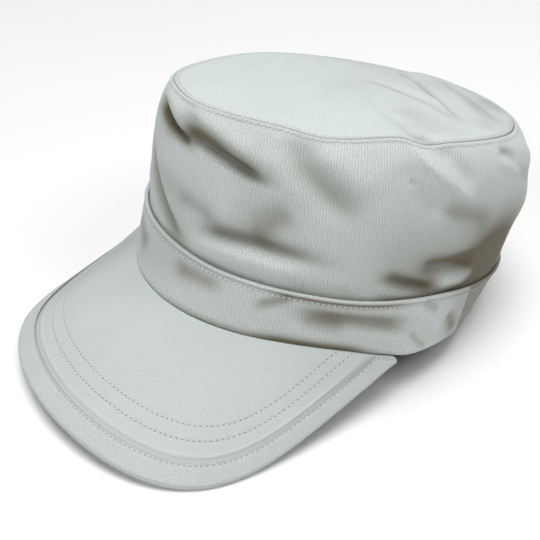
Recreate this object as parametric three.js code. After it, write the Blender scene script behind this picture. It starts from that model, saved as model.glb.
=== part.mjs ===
// A soft work cap of undyed cotton twill: a flat top panel on a tall side panel, a turned-up band round its
// foot, a sweatband inside, and a stiff curved peak with a bound edge. It lies on a surface as it would by
// itself, on the sides of the peak and on the hem at the back of the head.
//
// Millimetres. +Z is up, the peak points to -Y, and +X is the wearer's left. Angles go round the head in
// degrees, from the front toward the wearer's left. The cap is shaped upright first, with its rim near Z = 0,
// and then tipped to the way it rests.
import * as THREE from 'three';

// Driving dimensions: plan sizes are outside sizes, half widths to the side and reaches from the head's middle
const RIM_HALF_WIDTH = 91;
const RIM_FRONT = 103.9;
const RIM_REAR = 102.7;
const BAND_TOP_HALF_WIDTH = 87.6;
const BAND_TOP_FRONT = 97.2;
const BAND_TOP_REAR = 111;
const SEAM_HALF_WIDTH = 76.9;
const SEAM_FRONT = 97.1;
const SEAM_REAR = 95.3;
const BAND_HEIGHT = 28.5;
const CROWN_HEIGHT = 100;
const TOP_DOME = 3;
const SIDE_BULGE = 5.8;
const REAR_BULGE = 2.5;
const CROWN_CLOTH = 1.25;
const BAND_CLOTH = 1.7;
const BACK_BAND_CLOTH = 1.2;
const SWEATBAND_CLOTH = 1.05;
const SWEATBAND_HEIGHT = 25;
const SWEATBAND_SHOWS = 0.9;
const SIDE_TUCK = 8;
const LAYER_GAP = 0.35;
const SEAM_GAP = 0.4;
const BAND_END_ANGLE = 104;
const BAND_END_GAP = 0.45;
const PEAK_REACH = 56.6;
const PEAK_THICKNESS = 2.6;
const PEAK_SLOPE = 42;
const PEAK_ARCH = 47;
const PEAK_END_ANGLE = 76.5;
const BINDING_WIDTH = 9.5;
const BINDING_CLOTH = 1;
const BINDING_GAP = 0.3;
const HEM_SETTLE = 0.6;
const PEAK_SETTLE = 0.3;

// Shapes that no length gives: shares of the named lengths, and powers of curves
const SEAM_CORNERS = 0.028; // how three-cornered the top seam is, share of its reach
const MEAN_SEAM_LEVEL = 0.99; // share of CROWN_HEIGHT in the middle of the top
const WALL_CLIMB = 1.25; // 1 is an even climb of the side panel, more is steeper at its foot
const PEAK_ROOT_SHARE = 0.209; // where the peak's sides meet the rim, share of RIM_FRONT
const PEAK_WIDTH_SHARE = 0.997; // share of RIM_HALF_WIDTH
const PEAK_SIDE_POWER = 1.905; // the peak's outline: 2 is an ellipse, more is squarer
const PEAK_FRONT_POWER = 5.32;
const PEAK_START_LEVEL = 0.095; // share of BAND_HEIGHT at the middle of the rim
const PEAK_FLATTENING = 0.46; // share of the arch that is gone at the front edge
const PEAK_STEP_SHARE = 0.7; // share of a line over which the rim's own height fades out
const PEAK_END_BEARING = 88.5;
const BAND_DENT_MARGIN = 0.3; // shares over which folds fade out toward the edges of their panel
const SIDE_FOOT_MARGIN = 0.08;
const SIDE_SEAM_MARGIN = 0.07;
const TOP_SEAM_MARGIN = 0.12;
const TOP_MIDDLE_MARGIN = [0.15, 0.5];

// How fine the facets are
const COLUMNS = 84;
const PEAK_COLUMNS = 40;
const SIDE_LEVELS = [0, 0.07, 0.15, 0.24, 0.33, 0.42, 0.51, 0.6, 0.69, 0.78, 0.86, 0.93, 1];
const TOP_RINGS = [1, 0.95, 0.86, 0.74, 0.58, 0.4, 0.2];
const BAND_LEVELS = [0, 0.34, 0.67, 1];
const PEAK_SHARES = [0, 0.33, 0.66, 1];

const DEG = Math.PI / 180;
const { clamp, lerp, smoothstep } = THREE.MathUtils;

// How square each plan outline is: 2 is an ellipse, more is squarer
const RIM_OUTLINE = {
  halfWidth: RIM_HALF_WIDTH, front: RIM_FRONT, rear: RIM_REAR, frontPower: 1.9, rearPower: 1.9,
};
const BAND_TOP_OUTLINE = {
  halfWidth: BAND_TOP_HALF_WIDTH, front: BAND_TOP_FRONT, rear: BAND_TOP_REAR, frontPower: 2.2, rearPower: 2.45,
};
const SEAM_OUTLINE = {
  halfWidth: SEAM_HALF_WIDTH, front: SEAM_FRONT, rear: SEAM_REAR, frontPower: 1.93, rearPower: 1.9,
};

// Heights round the head. Columns: angle, share of the named height. A table that ends at 180 is mirrored.
const RIM_LEVEL = [ // share of BAND_HEIGHT
  [0, 0.067], [15, 0.07], [30, 0.1], [45, 0.14], [60, 0.11], [72, 0], [82, -0.1], [92, -0.07],
  [105, -0.056], [120, -0.077], [150, -0.053], [180, -0.028],
];
const BAND_TOP_LEVEL = [ // share of BAND_HEIGHT
  [0, 1], [15, 1.02], [30, 1.06], [45, 1.08], [60, 1.05], [75, 1.02], [90, 0.96], [105, 0.86],
  [120, 0.8], [150, 0.79], [180, 0.81],
];
const SEAM_LEVEL = [ // share of CROWN_HEIGHT
  [0, 1.004], [15, 1.016], [30, 1.022], [42, 1.007], [51, 1.018], [60, 1.04], [66, 1.046], [74, 1.02],
  [82, 1.03], [94, 1.031], [105, 1.022], [117, 1.008], [135, 0.994], [150, 0.983], [165, 0.976],
  [180, 0.968], [195, 0.958], [210, 0.945], [240, 0.938], [270, 0.945], [300, 0.952], [330, 0.98],
  [345, 1.003],
];

// Folds of the side panel, each a soft line from one place to another. Angles in degrees, levels as shares of
// the panel's height from the band to the top seam, width and rise as shares of that height. A negative rise
// is a groove.
// Columns: from angle, from level, to angle, to level, width, rise
const SIDE_FOLDS = [
  [-14, 0.84, 4, 0.76, 0.075, -0.042], // under the front shoulder
  [4, 0.76, 28, 0.56, 0.075, -0.045],
  [-8, 0.94, 22, 0.8, 0.07, 0.02],
  [36, 0.73, 50, 0.6, 0.07, -0.03], // short slanting fold
  [50, 0.6, 58, 0.53, 0.07, -0.022],
  [5, 0.2, 44, 0.2, 0.075, -0.024], // slack above the band
  [19, 0.42, 34, 0.36, 0.1, -0.02],
  [12, 0.08, 40, 0.07, 0.08, 0.012],
  [-34, 0.7, -16, 0.1, 0.09, -0.028], // crease down the wearer's right front
  [73, 0.93, 92, 0.55, 0.06, 0.026], // ridge slanting back from the top seam
  [70, 0.86, 85, 0.5, 0.07, -0.03],
  [68, 0.11, 80, 0.1, 0.07, -0.024], // hollow low at the side
  [86, 0.28, 114, 0.22, 0.11, -0.045],
  [86, 0.1, 100, 0.12, 0.06, 0.014],
  [107, 0.86, 116, 0.5, 0.08, -0.026],
  [128, 0.8, 124, 0.45, 0.09, 0.014],
  [122, 0.34, 136, 0.38, 0.15, 0.034],
  [150, 0.82, 162, 0.42, 0.1, -0.026], // behind the head
  [140, 0.2, 176, 0.26, 0.11, -0.03],
  [-172, 0.7, -158, 0.4, 0.1, -0.022],
  [-150, 0.24, -118, 0.2, 0.1, -0.034],
  [-124, 0.84, -112, 0.5, 0.09, -0.024], // on the wearer's right
  [-92, 0.34, -66, 0.22, 0.1, -0.03],
  [-70, 0.84, -52, 0.6, 0.08, -0.03],
  [-86, 0.8, -74, 0.5, 0.08, 0.018],
];

// Creases of the top panel. Places are shares of the top seam's half width and of its reach to the front or
// the rear, width and rise are shares of its half width.
// Columns: from x, from y, to x, to y, width, rise
const TOP_FOLDS = [
  [0.11, 0.3, 0.76, 0.26, 0.09, -0.022],
  [0.1, 0.4, 0.72, 0.36, 0.1, 0.02],
  [-0.5, 0.54, 0.25, 0.53, 0.09, -0.018],
  [0.25, 0.53, 0.73, 0.36, 0.08, -0.024],
  [-0.48, 0.62, 0.12, 0.8, 0.09, -0.018],
  [-0.34, 0.86, 0.06, 0.88, 0.1, 0.03],
  [0.41, 0.55, 0.86, 0.42, 0.08, -0.024],
  [0.62, -0.14, 0.8, -0.2, 0.1, -0.03], // at the dip of the seam on the wearer's left
];

// Dents of the band. Angles in degrees, level as a share of the band's height, width and rise as shares of it.
// Columns: from angle, from level, to angle, to level, width, rise
const BAND_FOLDS = [
  [54, 0.42, 76, 0.5, 0.2, -0.028],
  [80, 0.3, 92, 0.5, 0.22, 0.02],
];

// A smooth closed curve of one value round the head, through the rows of a table.
function roundTheHead(rows) {
  const mirrored = rows[rows.length - 1][0] === 180;
  const otherSide = mirrored ? rows.slice(1, -1).map(([angle, value]) => [-angle, value]).reverse() : [];
  const oneTurn = [...otherSide, ...rows];
  const turns = [-360, 0, 360].flatMap((turn) => oneTurn.map(([angle, value]) => [angle + turn, value]));
  const angles = turns.map(([angle]) => angle);
  const values = turns.map(([, value]) => value);
  const spline = new THREE.CubicInterpolant(angles, values, 1);
  return (angle) => spline.evaluate(angle)[0];
}

const rimLevel = roundTheHead(RIM_LEVEL);
const bandTopLevel = roundTheHead(BAND_TOP_LEVEL);
const seamLevel = roundTheHead(SEAM_LEVEL);

// The point of a plan outline at an angle.
function planPoint(outline, angle) {
  const side = Math.sin(angle * DEG);
  const ahead = Math.cos(angle * DEG);
  const power = ahead >= 0 ? outline.frontPower : outline.rearPower;
  const reach = ahead >= 0 ? outline.front : outline.rear;
  const spread = (Math.abs(side) ** power + Math.abs(ahead) ** power) ** (-1 / power);
  return new THREE.Vector2(outline.halfWidth * side * spread, -reach * ahead * spread);
}

// The level direction that points into the head, square to a plan curve.
function inward(curve, angle) {
  const along = curve(angle + 0.5).sub(curve(angle - 0.5));
  return new THREE.Vector2(-along.y, along.x).normalize();
}

// How far a table of folds lifts a place. Places and widths are in the same unit, and so is the answer.
function foldRise(folds, place, unitsPerDegree = 1, wraps = false) {
  let rise = 0;
  for (const [fromX, fromY, toX, toY, width, height] of folds) {
    let start = place.x - fromX;
    if (wraps) start -= 360 * Math.round(start / 360);
    const x = start * unitsPerDegree;
    const y = place.y - fromY;
    const runX = (toX - fromX) * unitsPerDegree;
    const runY = toY - fromY;
    const share = clamp((x * runX + y * runY) / (runX * runX + runY * runY), 0, 1);
    const distance = Math.hypot(x - share * runX, y - share * runY);
    rise += height * Math.exp(-((distance / width) ** 2));
  }
  return rise;
}

// The band

const bandPerDegree = (RIM_HALF_WIDTH * DEG) / BAND_HEIGHT;

// A point of the band's wall: share 0 at its hem and 1 at its upper edge, depth in from its outer face.
function bandPoint(angle, share, depth) {
  const curve = (at) => planPoint(RIM_OUTLINE, at).lerp(planPoint(BAND_TOP_OUTLINE, at), share);
  const dent = foldRise(BAND_FOLDS, { x: angle, y: share }, bandPerDegree, true) * BAND_HEIGHT;
  const plan = curve(angle).addScaledVector(inward(curve, angle), depth - dent * bandDentFade(share));
  const level = lerp(rimLevel(angle), bandTopLevel(angle), share);
  return new THREE.Vector3(plan.x, plan.y, BAND_HEIGHT * level);
}

// The dents die out toward the hem and the upper edge, which the peak and the side panel meet.
function bandDentFade(share) {
  return smoothstep(share, 0, BAND_DENT_MARGIN) * smoothstep(1 - share, 0, BAND_DENT_MARGIN);
}

// The side panel

const WALL_HEIGHT = CROWN_HEIGHT - BAND_HEIGHT;
const wallPerDegree = ((SEAM_HALF_WIDTH + BAND_TOP_HALF_WIDTH) / 2 * DEG) / WALL_HEIGHT;
const TUCK_DEPTH = BAND_CLOTH + LAYER_GAP;

// The top seam in plan is a little three-cornered, as the cloth pulls it.
function seamPlan(angle) {
  return planPoint(SEAM_OUTLINE, angle).multiplyScalar(1 + SEAM_CORNERS * Math.cos(3 * angle * DEG));
}

// A point of the side panel's outer face: level 0 at the band's upper edge, 1 at the top seam, and below 0
// where the panel is tucked into the band.
function sidePoint(angle, level) {
  if (level < 0) {
    const bandShare = 1 + (level * WALL_HEIGHT) / BAND_HEIGHT;
    return bandPoint(angle, bandShare, TUCK_DEPTH);
  }
  const low = bandPoint(angle, 1, TUCK_DEPTH * (1 - level));
  const high = seamPlan(angle);
  const plan = new THREE.Vector2(low.x, low.y).lerp(high, level);
  const fullness = SIDE_BULGE - REAR_BULGE * Math.cos(angle * DEG);
  const bulge = fullness * 4 * level * (1 - level) * (0.5 + level);
  const fold = foldRise(SIDE_FOLDS, { x: angle, y: level }, wallPerDegree, true) * WALL_HEIGHT;
  const fade = smoothstep(level, 0, SIDE_FOOT_MARGIN) * smoothstep(1 - level, 0, SIDE_SEAM_MARGIN);
  plan.setLength(plan.length() + bulge + fold * fade);
  const climb = 1 - (1 - level) ** WALL_CLIMB;
  return new THREE.Vector3(plan.x, plan.y, lerp(low.z, CROWN_HEIGHT * seamLevel(angle), climb));
}

// The top panel

const topScale = 1 - SEAM_GAP / SEAM_HALF_WIDTH;

// A point of the top panel's outer face: share 1 at the seam and 0 in the middle.
function topPoint(angle, share) {
  const plan = seamPlan(angle).multiplyScalar(share * topScale);
  const level = lerp(MEAN_SEAM_LEVEL, seamLevel(angle), share * share);
  const reach = plan.y < 0 ? SEAM_FRONT : SEAM_REAR;
  const place = { x: plan.x / SEAM_HALF_WIDTH, y: plan.y / reach };
  const fade = smoothstep(share, ...TOP_MIDDLE_MARGIN) * smoothstep(1 - share, 0, TOP_SEAM_MARGIN);
  const fold = foldRise(TOP_FOLDS, place) * SEAM_HALF_WIDTH * fade;
  return new THREE.Vector3(plan.x, plan.y, CROWN_HEIGHT * level + TOP_DOME * (1 - share * share) + fold);
}

// At the top seam both panels are cut square to this direction, halfway between wall and top.
function seamSquare(angle) {
  const out = inward(seamPlan, angle).negate();
  return new THREE.Vector3(out.x, out.y, 1).normalize();
}

// The peak

// The widest place of the peak is where its sides meet the rim, a little in front of the ears.
const PEAK_ROOT = PEAK_ROOT_SHARE * RIM_FRONT;
const EDGE_COVER = BINDING_GAP + BINDING_CLOTH;
const PEAK_HALF_WIDTH = PEAK_WIDTH_SHARE * RIM_HALF_WIDTH - EDGE_COVER;
const PEAK_LENGTH = RIM_FRONT + PEAK_REACH - EDGE_COVER - PEAK_ROOT;
const PEAK_TUCK = BAND_CLOTH + CROWN_CLOTH;
const PEAK_TUCK_DROP = LAYER_GAP;

// The outline of the peak in plan, by the bearing from the middle of its root.
function peakOutline(bearing) {
  const across = Math.abs(Math.sin(bearing * DEG)) / PEAK_HALF_WIDTH;
  const ahead = Math.cos(bearing * DEG) / PEAK_LENGTH;
  let near = 0;
  let far = PEAK_HALF_WIDTH + PEAK_LENGTH;
  for (let step = 0; step < 40; step += 1) {
    const middle = (near + far) / 2;
    const inside = (across * middle) ** PEAK_SIDE_POWER + (ahead * middle) ** PEAK_FRONT_POWER < 1;
    if (inside) near = middle;
    else far = middle;
  }
  return new THREE.Vector2(near * Math.sin(bearing * DEG), -PEAK_ROOT - near * Math.cos(bearing * DEG));
}

// The height of the peak's arched slope over a plan point.
function peakSlope(plan) {
  const ahead = -plan.y - RIM_FRONT;
  const sideShare = plan.x / PEAK_HALF_WIDTH;
  const arch = PEAK_ARCH * (1 - (PEAK_FLATTENING * ahead) / PEAK_REACH);
  return PEAK_START_LEVEL * BAND_HEIGHT - Math.tan(PEAK_SLOPE * DEG) * ahead - arch * sideShare ** 2;
}

// A point of the peak's upper face, on the line from the band, share 0, to the outline, share 1. The position
// runs from -1 on the wearer's right to 1 on the left.
function peakPoint(position, share) {
  const angle = position * PEAK_END_ANGLE;
  const rim = bandPoint(angle, 0, -SEAM_GAP);
  const start = new THREE.Vector2(rim.x, rim.y);
  const plan = start.clone().lerp(peakOutline(position * PEAK_END_BEARING), share);
  const step = rim.z - PEAK_TUCK_DROP - peakSlope(start);
  return new THREE.Vector3(plan.x, plan.y, peakSlope(plan) + step * (1 - smoothstep(share, 0, PEAK_STEP_SHARE)));
}

// The length of a line of the peak, from the band to the outline.
function peakLineLength(position) {
  const steps = 12;
  let length = 0;
  for (let step = 0; step < steps; step += 1) {
    length += peakPoint(position, step / steps).distanceTo(peakPoint(position, (step + 1) / steps));
  }
  return length;
}

// How far in from the outline the binding's legs reach: full width, or up to the band where the peak is short.
function bindingReach(position) {
  return Math.min(BINDING_WIDTH, peakLineLength(position) - LAYER_GAP - BINDING_GAP);
}

// 1 where the peak is long, falling to 0 where it runs out beside the band.
function peakFullness(position) {
  return smoothstep(peakLineLength(position), 2 * PEAK_THICKNESS, 10 * PEAK_THICKNESS);
}

// The direction out of the peak's upper face. Where the peak runs out it is the same along the whole line, so
// that the lower face doesn't fold over itself.
function peakNormal(position, share) {
  const low = clamp(lerp(0.6, share, peakFullness(position)), 0.02, 0.98);
  const along = peakPoint(position + 0.01, low).sub(peakPoint(position - 0.01, low));
  const outward = peakPoint(position, low + 0.02).sub(peakPoint(position, low - 0.02));
  return outward.cross(along).normalize();
}

// Rest: the cap tips back until the peak and the hem behind the head both touch the surface

function tipped(point, tip) {
  const cos = Math.cos(tip);
  const sin = Math.sin(tip);
  return new THREE.Vector3(point.x, point.y * cos + point.z * sin, -point.y * sin + point.z * cos);
}

function lowest(points, tip) {
  return Math.min(...points.map((point) => tipped(point, tip).z));
}

// A loft through closed rings of equal length. Where it is closed the last ring joins the first, and else
// both ends are capped between the ring's two halves. A wall's two faces are cut along the same diagonals, so
// that they stay apart in a tight fold.
function loft(rings, closed, wall) {
  const count = rings[0].length;
  const positions = rings.flat().flatMap((point) => [point.x, point.y, point.z]);
  const faces = [];
  const spans = closed ? rings.length : rings.length - 1;
  for (let ring = 0; ring < spans; ring += 1) {
    const here = ring * count;
    const next = ((ring + 1) % rings.length) * count;
    for (let corner = 0; corner < count; corner += 1) {
      const after = (corner + 1) % count;
      if (wall && corner >= count / 2) {
        faces.push(here + corner, next + corner, here + after, next + corner, next + after, here + after);
      } else {
        faces.push(here + corner, next + corner, next + after, here + corner, next + after, here + after);
      }
    }
  }
  if (!closed) {
    const last = (rings.length - 1) * count;
    for (let corner = 0; corner < count / 2 - 1; corner += 1) {
      const opposite = count - 1 - corner;
      const cap = [corner, corner + 1, opposite - 1, corner, opposite - 1, opposite];
      faces.push(...cap, ...cap.map((index) => last + index).reverse());
    }
  }
  return solid(positions, faces);
}

// A closed geometry whose faces point out.
function solid(positions, faces) {
  const geometry = new THREE.BufferGeometry();
  geometry.setAttribute('position', new THREE.Float32BufferAttribute(positions, 3));
  const corner = (index) => new THREE.Vector3().fromArray(positions, 3 * index);
  let volume = 0;
  for (let face = 0; face < faces.length; face += 3) {
    volume += corner(faces[face]).dot(corner(faces[face + 1]).cross(corner(faces[face + 2])));
  }
  geometry.setIndex(volume > 0 ? faces : [...faces].reverse());
  geometry.computeVertexNormals();
  return geometry;
}

// A ring of a wall: up its outer face and back down its inner face.
function wallRing(shares, outer, inner) {
  return [...shares.map(outer), ...[...shares].reverse().map(inner)];
}

const wholeTurn = Array.from({ length: COLUMNS }, (_, index) => (index * 360) / COLUMNS);

// The angles of a stretch of the band: its two ends, and the columns between them.
function stretch(from, to) {
  const columns = Array.from({ length: 2 * COLUMNS }, (_, index) => (index * 360) / COLUMNS - 360 / 2);
  const margin = 100 / COLUMNS;
  return [from, ...columns.filter((angle) => angle > from + margin && angle < to - margin), to];
}

// The sub-parts, each a list of rings or of points in the upright cap

function bandRings(from, to, outerDepth) {
  return stretch(from, to).map((angle) => wallRing(
    BAND_LEVELS,
    (share) => bandPoint(angle, share, outerDepth),
    (share) => bandPoint(angle, share, BAND_CLOTH),
  ));
}

function sweatbandRings() {
  const outer = BAND_CLOTH + 2 * LAYER_GAP + CROWN_CLOTH;
  const shares = [-SWEATBAND_SHOWS / BAND_HEIGHT, (SWEATBAND_HEIGHT - SWEATBAND_SHOWS) / BAND_HEIGHT];
  return wholeTurn.map((angle) => wallRing(
    shares,
    (share) => bandPoint(angle, share, outer),
    (share) => bandPoint(angle, share, outer + SWEATBAND_CLOTH),
  ));
}

function sideNormal(angle, level) {
  if (level === 1) return seamSquare(angle);
  const foot = Math.max(level, 0);
  const along = sidePoint(angle + 0.5, foot).sub(sidePoint(angle - 0.5, foot));
  const up = sidePoint(angle, foot + 0.02).sub(sidePoint(angle, Math.max(foot - 0.02, 0)));
  if (level <= 0) up.set(0, 0, 1);
  return along.cross(up).normalize();
}

function sideRings() {
  const levels = [-SIDE_TUCK / WALL_HEIGHT, ...SIDE_LEVELS];
  return wholeTurn.map((angle) => wallRing(
    levels,
    (level) => sidePoint(angle, level),
    (level) => sidePoint(angle, level).addScaledVector(sideNormal(angle, level), -CROWN_CLOTH),
  ));
}

// The top panel is a disc with two faces: rings of points round a middle one, above and below.
function topPanel(settle) {
  const normal = (angle, share) => (share === 1 ? seamSquare(angle) : new THREE.Vector3(0, 0, 1));
  const below = (angle, share) => topPoint(angle, share).addScaledVector(normal(angle, share), -CROWN_CLOTH);
  const rings = [
    ...[...TOP_RINGS].reverse().map((share) => wholeTurn.map((angle) => topPoint(angle, share))),
    ...TOP_RINGS.map((share) => wholeTurn.map((angle) => below(angle, share))),
  ];
  const points = [...rings.flat(), topPoint(0, 0), below(0, 0)].map(settle);
  const middle = rings.length * COLUMNS;
  const faces = [];
  for (let column = 0; column < COLUMNS; column += 1) {
    const next = (column + 1) % COLUMNS;
    for (let ring = 0; ring < rings.length - 1; ring += 1) {
      const here = ring * COLUMNS;
      const outer = here + COLUMNS;
      faces.push(here + column, outer + column, outer + next, here + column, outer + next, here + next);
    }
    const last = (rings.length - 1) * COLUMNS;
    faces.push(middle, column, next, middle + 1, last + next, last + column);
  }
  return solid(points.flatMap((point) => point.toArray()), faces);
}

// The columns of the peak stand closer together toward its two ends.
const peakPositions = Array.from({ length: PEAK_COLUMNS + 1 }, (_, index) => {
  const even = (2 * index) / PEAK_COLUMNS - 1;
  return 1.25 * even - 0.25 * even ** 3;
});

// The peak's own board and cloth: its root is level and reaches in under the band, toward the sweatband.
function peakRings() {
  return peakPositions.map((position) => {
    const fullness = peakFullness(position);
    const root = bandPoint(position * PEAK_END_ANGLE, 0, lerp(PEAK_TUCK_DROP, PEAK_TUCK, fullness));
    root.z -= PEAK_TUCK_DROP;
    const bound = 1 - bindingReach(position) / peakLineLength(position);
    const shares = [...PEAK_SHARES.map((share) => share * bound), (1 + bound) / 2, 1];
    const above = shares.map((share) => peakPoint(position, share));
    const below = shares.map((share) => peakPoint(position, share)
      .addScaledVector(peakNormal(position, share), -PEAK_THICKNESS));
    const besideRoot = below[0].clone().add(root).sub(above[0]);
    const underRoot = root.clone().addScaledVector(new THREE.Vector3(0, 0, 1), -PEAK_THICKNESS);
    return [root, ...above, ...below.reverse(), besideRoot.lerp(underRoot, fullness ** 3)];
  });
}

// The binding folds over the peak's edge. Its section: the outer face from the upper leg's end round the edge
// to the lower leg's end, and the inner face back.
function bindingRings() {
  return peakPositions.map((position) => {
    const length = peakLineLength(position);
    const width = bindingReach(position);
    const edge = peakPoint(position, 1);
    const normal = peakNormal(position, 1);
    const outward = edge.clone().sub(peakPoint(position, 1 - 1 / length)).normalize();
    outward.addScaledVector(normal, -outward.dot(normal)).normalize();
    const at = (back, height) => {
      const share = 1 - back / length;
      return peakPoint(position, share).addScaledVector(peakNormal(position, share), height);
    };
    const turn = (clearance, bend) => {
      const radius = PEAK_THICKNESS / 2 + clearance;
      const out = clearance + (radius - clearance) * Math.cos(bend * DEG) * 0.6;
      return edge.clone().addScaledVector(outward, out * Math.cos(bend * DEG))
        .addScaledVector(normal, radius * Math.sin(bend * DEG) - PEAK_THICKNESS / 2);
    };
    const legs = [width, width / 2, 0];
    const section = [
      ...legs.map((back) => at(back, EDGE_COVER)),
      ...[45, 0, -45].map((bend) => turn(EDGE_COVER, bend)),
      ...[...legs].reverse().map((back) => at(back, -PEAK_THICKNESS - EDGE_COVER)),
      ...legs.map((back) => at(back, -PEAK_THICKNESS - BINDING_GAP)),
      ...[-45, 0, 45].map((bend) => turn(BINDING_GAP, bend)),
      ...[...legs].reverse().map((back) => at(back, BINDING_GAP)),
    ];
    return section.reverse(); // turned the way of the peak's rings, so that both are faceted alike
  });
}

// Assembly

const backGapAngle = BAND_END_GAP / (RIM_HALF_WIDTH * DEG);
const rings = {
  band: bandRings(-BAND_END_ANGLE, BAND_END_ANGLE, 0),
  back_band: bandRings(
    BAND_END_ANGLE + backGapAngle,
    360 - BAND_END_ANGLE - backGapAngle,
    BAND_CLOTH - BACK_BAND_CLOTH,
  ),
  sweatband: sweatbandRings(),
  side_panel: sideRings(),
  peak: peakRings(),
  peak_binding: bindingRings(),
};
const hem = [...rings.band.flat(), ...rings.back_band.flat()];
const frontEdge = rings.peak_binding.flat();

// The tip angle at which peak and hem are equally low.
function restingTip() {
  let low = 0;
  let high = 45 * DEG;
  for (let step = 0; step < 40; step += 1) {
    const middle = (low + high) / 2;
    if (lowest(frontEdge, middle) + PEAK_SETTLE < lowest(hem, middle) + HEM_SETTLE) low = middle;
    else high = middle;
  }
  return low;
}

const tip = restingTip();
const surface = lowest(hem, tip) + HEM_SETTLE;

// Tips a point to rest. What would lie under the surface is pressed flat against it.
function settled(point) {
  const resting = tipped(point, tip);
  resting.z = Math.max(resting.z - surface, 0);
  return resting;
}

const settledLoft = (pieceRings, closed, wall) => loft(pieceRings.map((ring) => ring.map(settled)), closed, wall);
const twill = (color, roughness) => new THREE.MeshStandardMaterial({ color, roughness, metalness: 0 });
const geometries = {
  top_panel: topPanel(settled),
  side_panel: settledLoft(rings.side_panel, true, true),
  band: settledLoft(rings.band, false, true),
  back_band: settledLoft(rings.back_band, false, true),
  sweatband: settledLoft(rings.sweatband, true, true),
  peak: settledLoft(rings.peak, false, false),
  peak_binding: settledLoft(rings.peak_binding, false, false),
};
const colors = {
  top_panel: 0xdce1dd,
  side_panel: 0xd8ddd9,
  band: 0xdadfda,
  back_band: 0xd4d8d2,
  sweatband: 0xe6e4dd,
  peak: 0xdbe0dc,
  peak_binding: 0xdce1dc,
};

const cap = new THREE.Group();
for (const [name, geometry] of Object.entries(geometries)) {
  const mesh = new THREE.Mesh(geometry, twill(colors[name], 0.9));
  mesh.name = name;
  cap.add(mesh);
}

// The origin is under the middle of the cap, on the surface.
const box = new THREE.Box3().setFromObject(cap);
const centre = box.getCenter(new THREE.Vector3());
cap.position.set(-centre.x, -centre.y, -box.min.z);
const part = new THREE.Group();
part.add(cap);

export default part;
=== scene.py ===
# The looks of the work cap: undyed cotton twill, sewn from a top, a side panel, a turned-up band, a sweatband
# and a bound peak, with its folds, its stitching and its weave.
#
# Shapes are worked out in millimetres on the upright cap: the peak points to -Y, +X is the wearer's left, and
# angles go round the head in degrees from the front toward the wearer's left. rest() then puts them where the
# cap lies, in metres.
import math

import bmesh
import bpy
import numpy as np
from mathutils import Matrix, Vector


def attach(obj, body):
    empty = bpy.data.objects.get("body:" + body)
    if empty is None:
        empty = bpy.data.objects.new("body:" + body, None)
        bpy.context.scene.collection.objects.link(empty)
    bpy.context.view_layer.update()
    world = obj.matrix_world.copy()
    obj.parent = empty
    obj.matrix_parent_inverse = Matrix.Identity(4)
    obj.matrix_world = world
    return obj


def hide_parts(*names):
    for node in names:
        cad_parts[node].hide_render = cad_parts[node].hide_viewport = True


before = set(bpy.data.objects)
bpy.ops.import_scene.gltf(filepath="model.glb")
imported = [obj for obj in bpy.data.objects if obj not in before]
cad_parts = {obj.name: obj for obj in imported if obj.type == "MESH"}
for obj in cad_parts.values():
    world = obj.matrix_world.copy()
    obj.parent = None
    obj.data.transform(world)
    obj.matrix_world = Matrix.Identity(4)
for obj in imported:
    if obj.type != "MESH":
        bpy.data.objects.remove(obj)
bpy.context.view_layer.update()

# Sizes, as in the CAD source

RIM_HALF_WIDTH = 91
RIM_FRONT = 103.9
RIM_REAR = 102.7
BAND_TOP_HALF_WIDTH = 87.6
BAND_TOP_FRONT = 97.2
BAND_TOP_REAR = 111
SEAM_HALF_WIDTH = 76.9
SEAM_FRONT = 97.1
SEAM_REAR = 95.3
BAND_HEIGHT = 28.5
CROWN_HEIGHT = 100
TOP_DOME = 3
SIDE_BULGE = 5.8
REAR_BULGE = 2.5
CROWN_CLOTH = 1.25
BAND_CLOTH = 1.7
BACK_BAND_CLOTH = 1.2
SWEATBAND_CLOTH = 1.05
SWEATBAND_HEIGHT = 25
SWEATBAND_SHOWS = 0.9
SIDE_TUCK = 8
LAYER_GAP = 0.35
SEAM_GAP = 0.4
BAND_END_ANGLE = 104
BAND_END_GAP = 0.45
PEAK_REACH = 56.6
PEAK_THICKNESS = 2.6
PEAK_SLOPE = 42
PEAK_ARCH = 47
PEAK_END_ANGLE = 76.5
BINDING_WIDTH = 9.5
BINDING_CLOTH = 1
BINDING_GAP = 0.3
SEAM_CORNERS = 0.028
MEAN_SEAM_LEVEL = 0.99
WALL_CLIMB = 1.25
PEAK_ROOT_SHARE = 0.209
PEAK_WIDTH_SHARE = 0.997
PEAK_SIDE_POWER = 1.905
PEAK_FRONT_POWER = 5.32
PEAK_START_LEVEL = 0.095
PEAK_FLATTENING = 0.46
PEAK_STEP_SHARE = 0.7
PEAK_END_BEARING = 88.5

# Where the cap rests: its tip in radians, the surface's level and the shift to the middle of its box
REST_TIP = 0.21328469
REST_SURFACE = -21.812725
REST_SHIFT = 22.760265

# Sewing
STITCH_PITCH = 2.6
THREAD_HALF_SIZES = (0.37 * STITCH_PITCH, 0.31, 0.24)  # along the row, across it and out of the cloth
THREAD_RISE = 0.12  # a thread's middle, out from the cloth
HOLE_DEPTH = 0.12
SEAM_HOLE = 0.2  # half widths of the needle's holes, by row
BAND_HOLE = 0.3
PEAK_HOLE = 0.36
BINDING_HOLE = 0.28
SEAM_ROW = 2.2  # from the top seam to the row of stitches on either side
BAND_ROW = 3.4  # from the band's upper edge to its row
BINDING_ROW = 1.0  # from the binding's inner edge to its row
PEAK_ROWS = (20, 27)  # from the peak's edge to its two rows
PEAK_RIDGE = 12.8  # from the peak's edge to the ridge beside the binding
SEAM_ROLL = 0.9  # radius over which the crown's panels roll into the top seam

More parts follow.
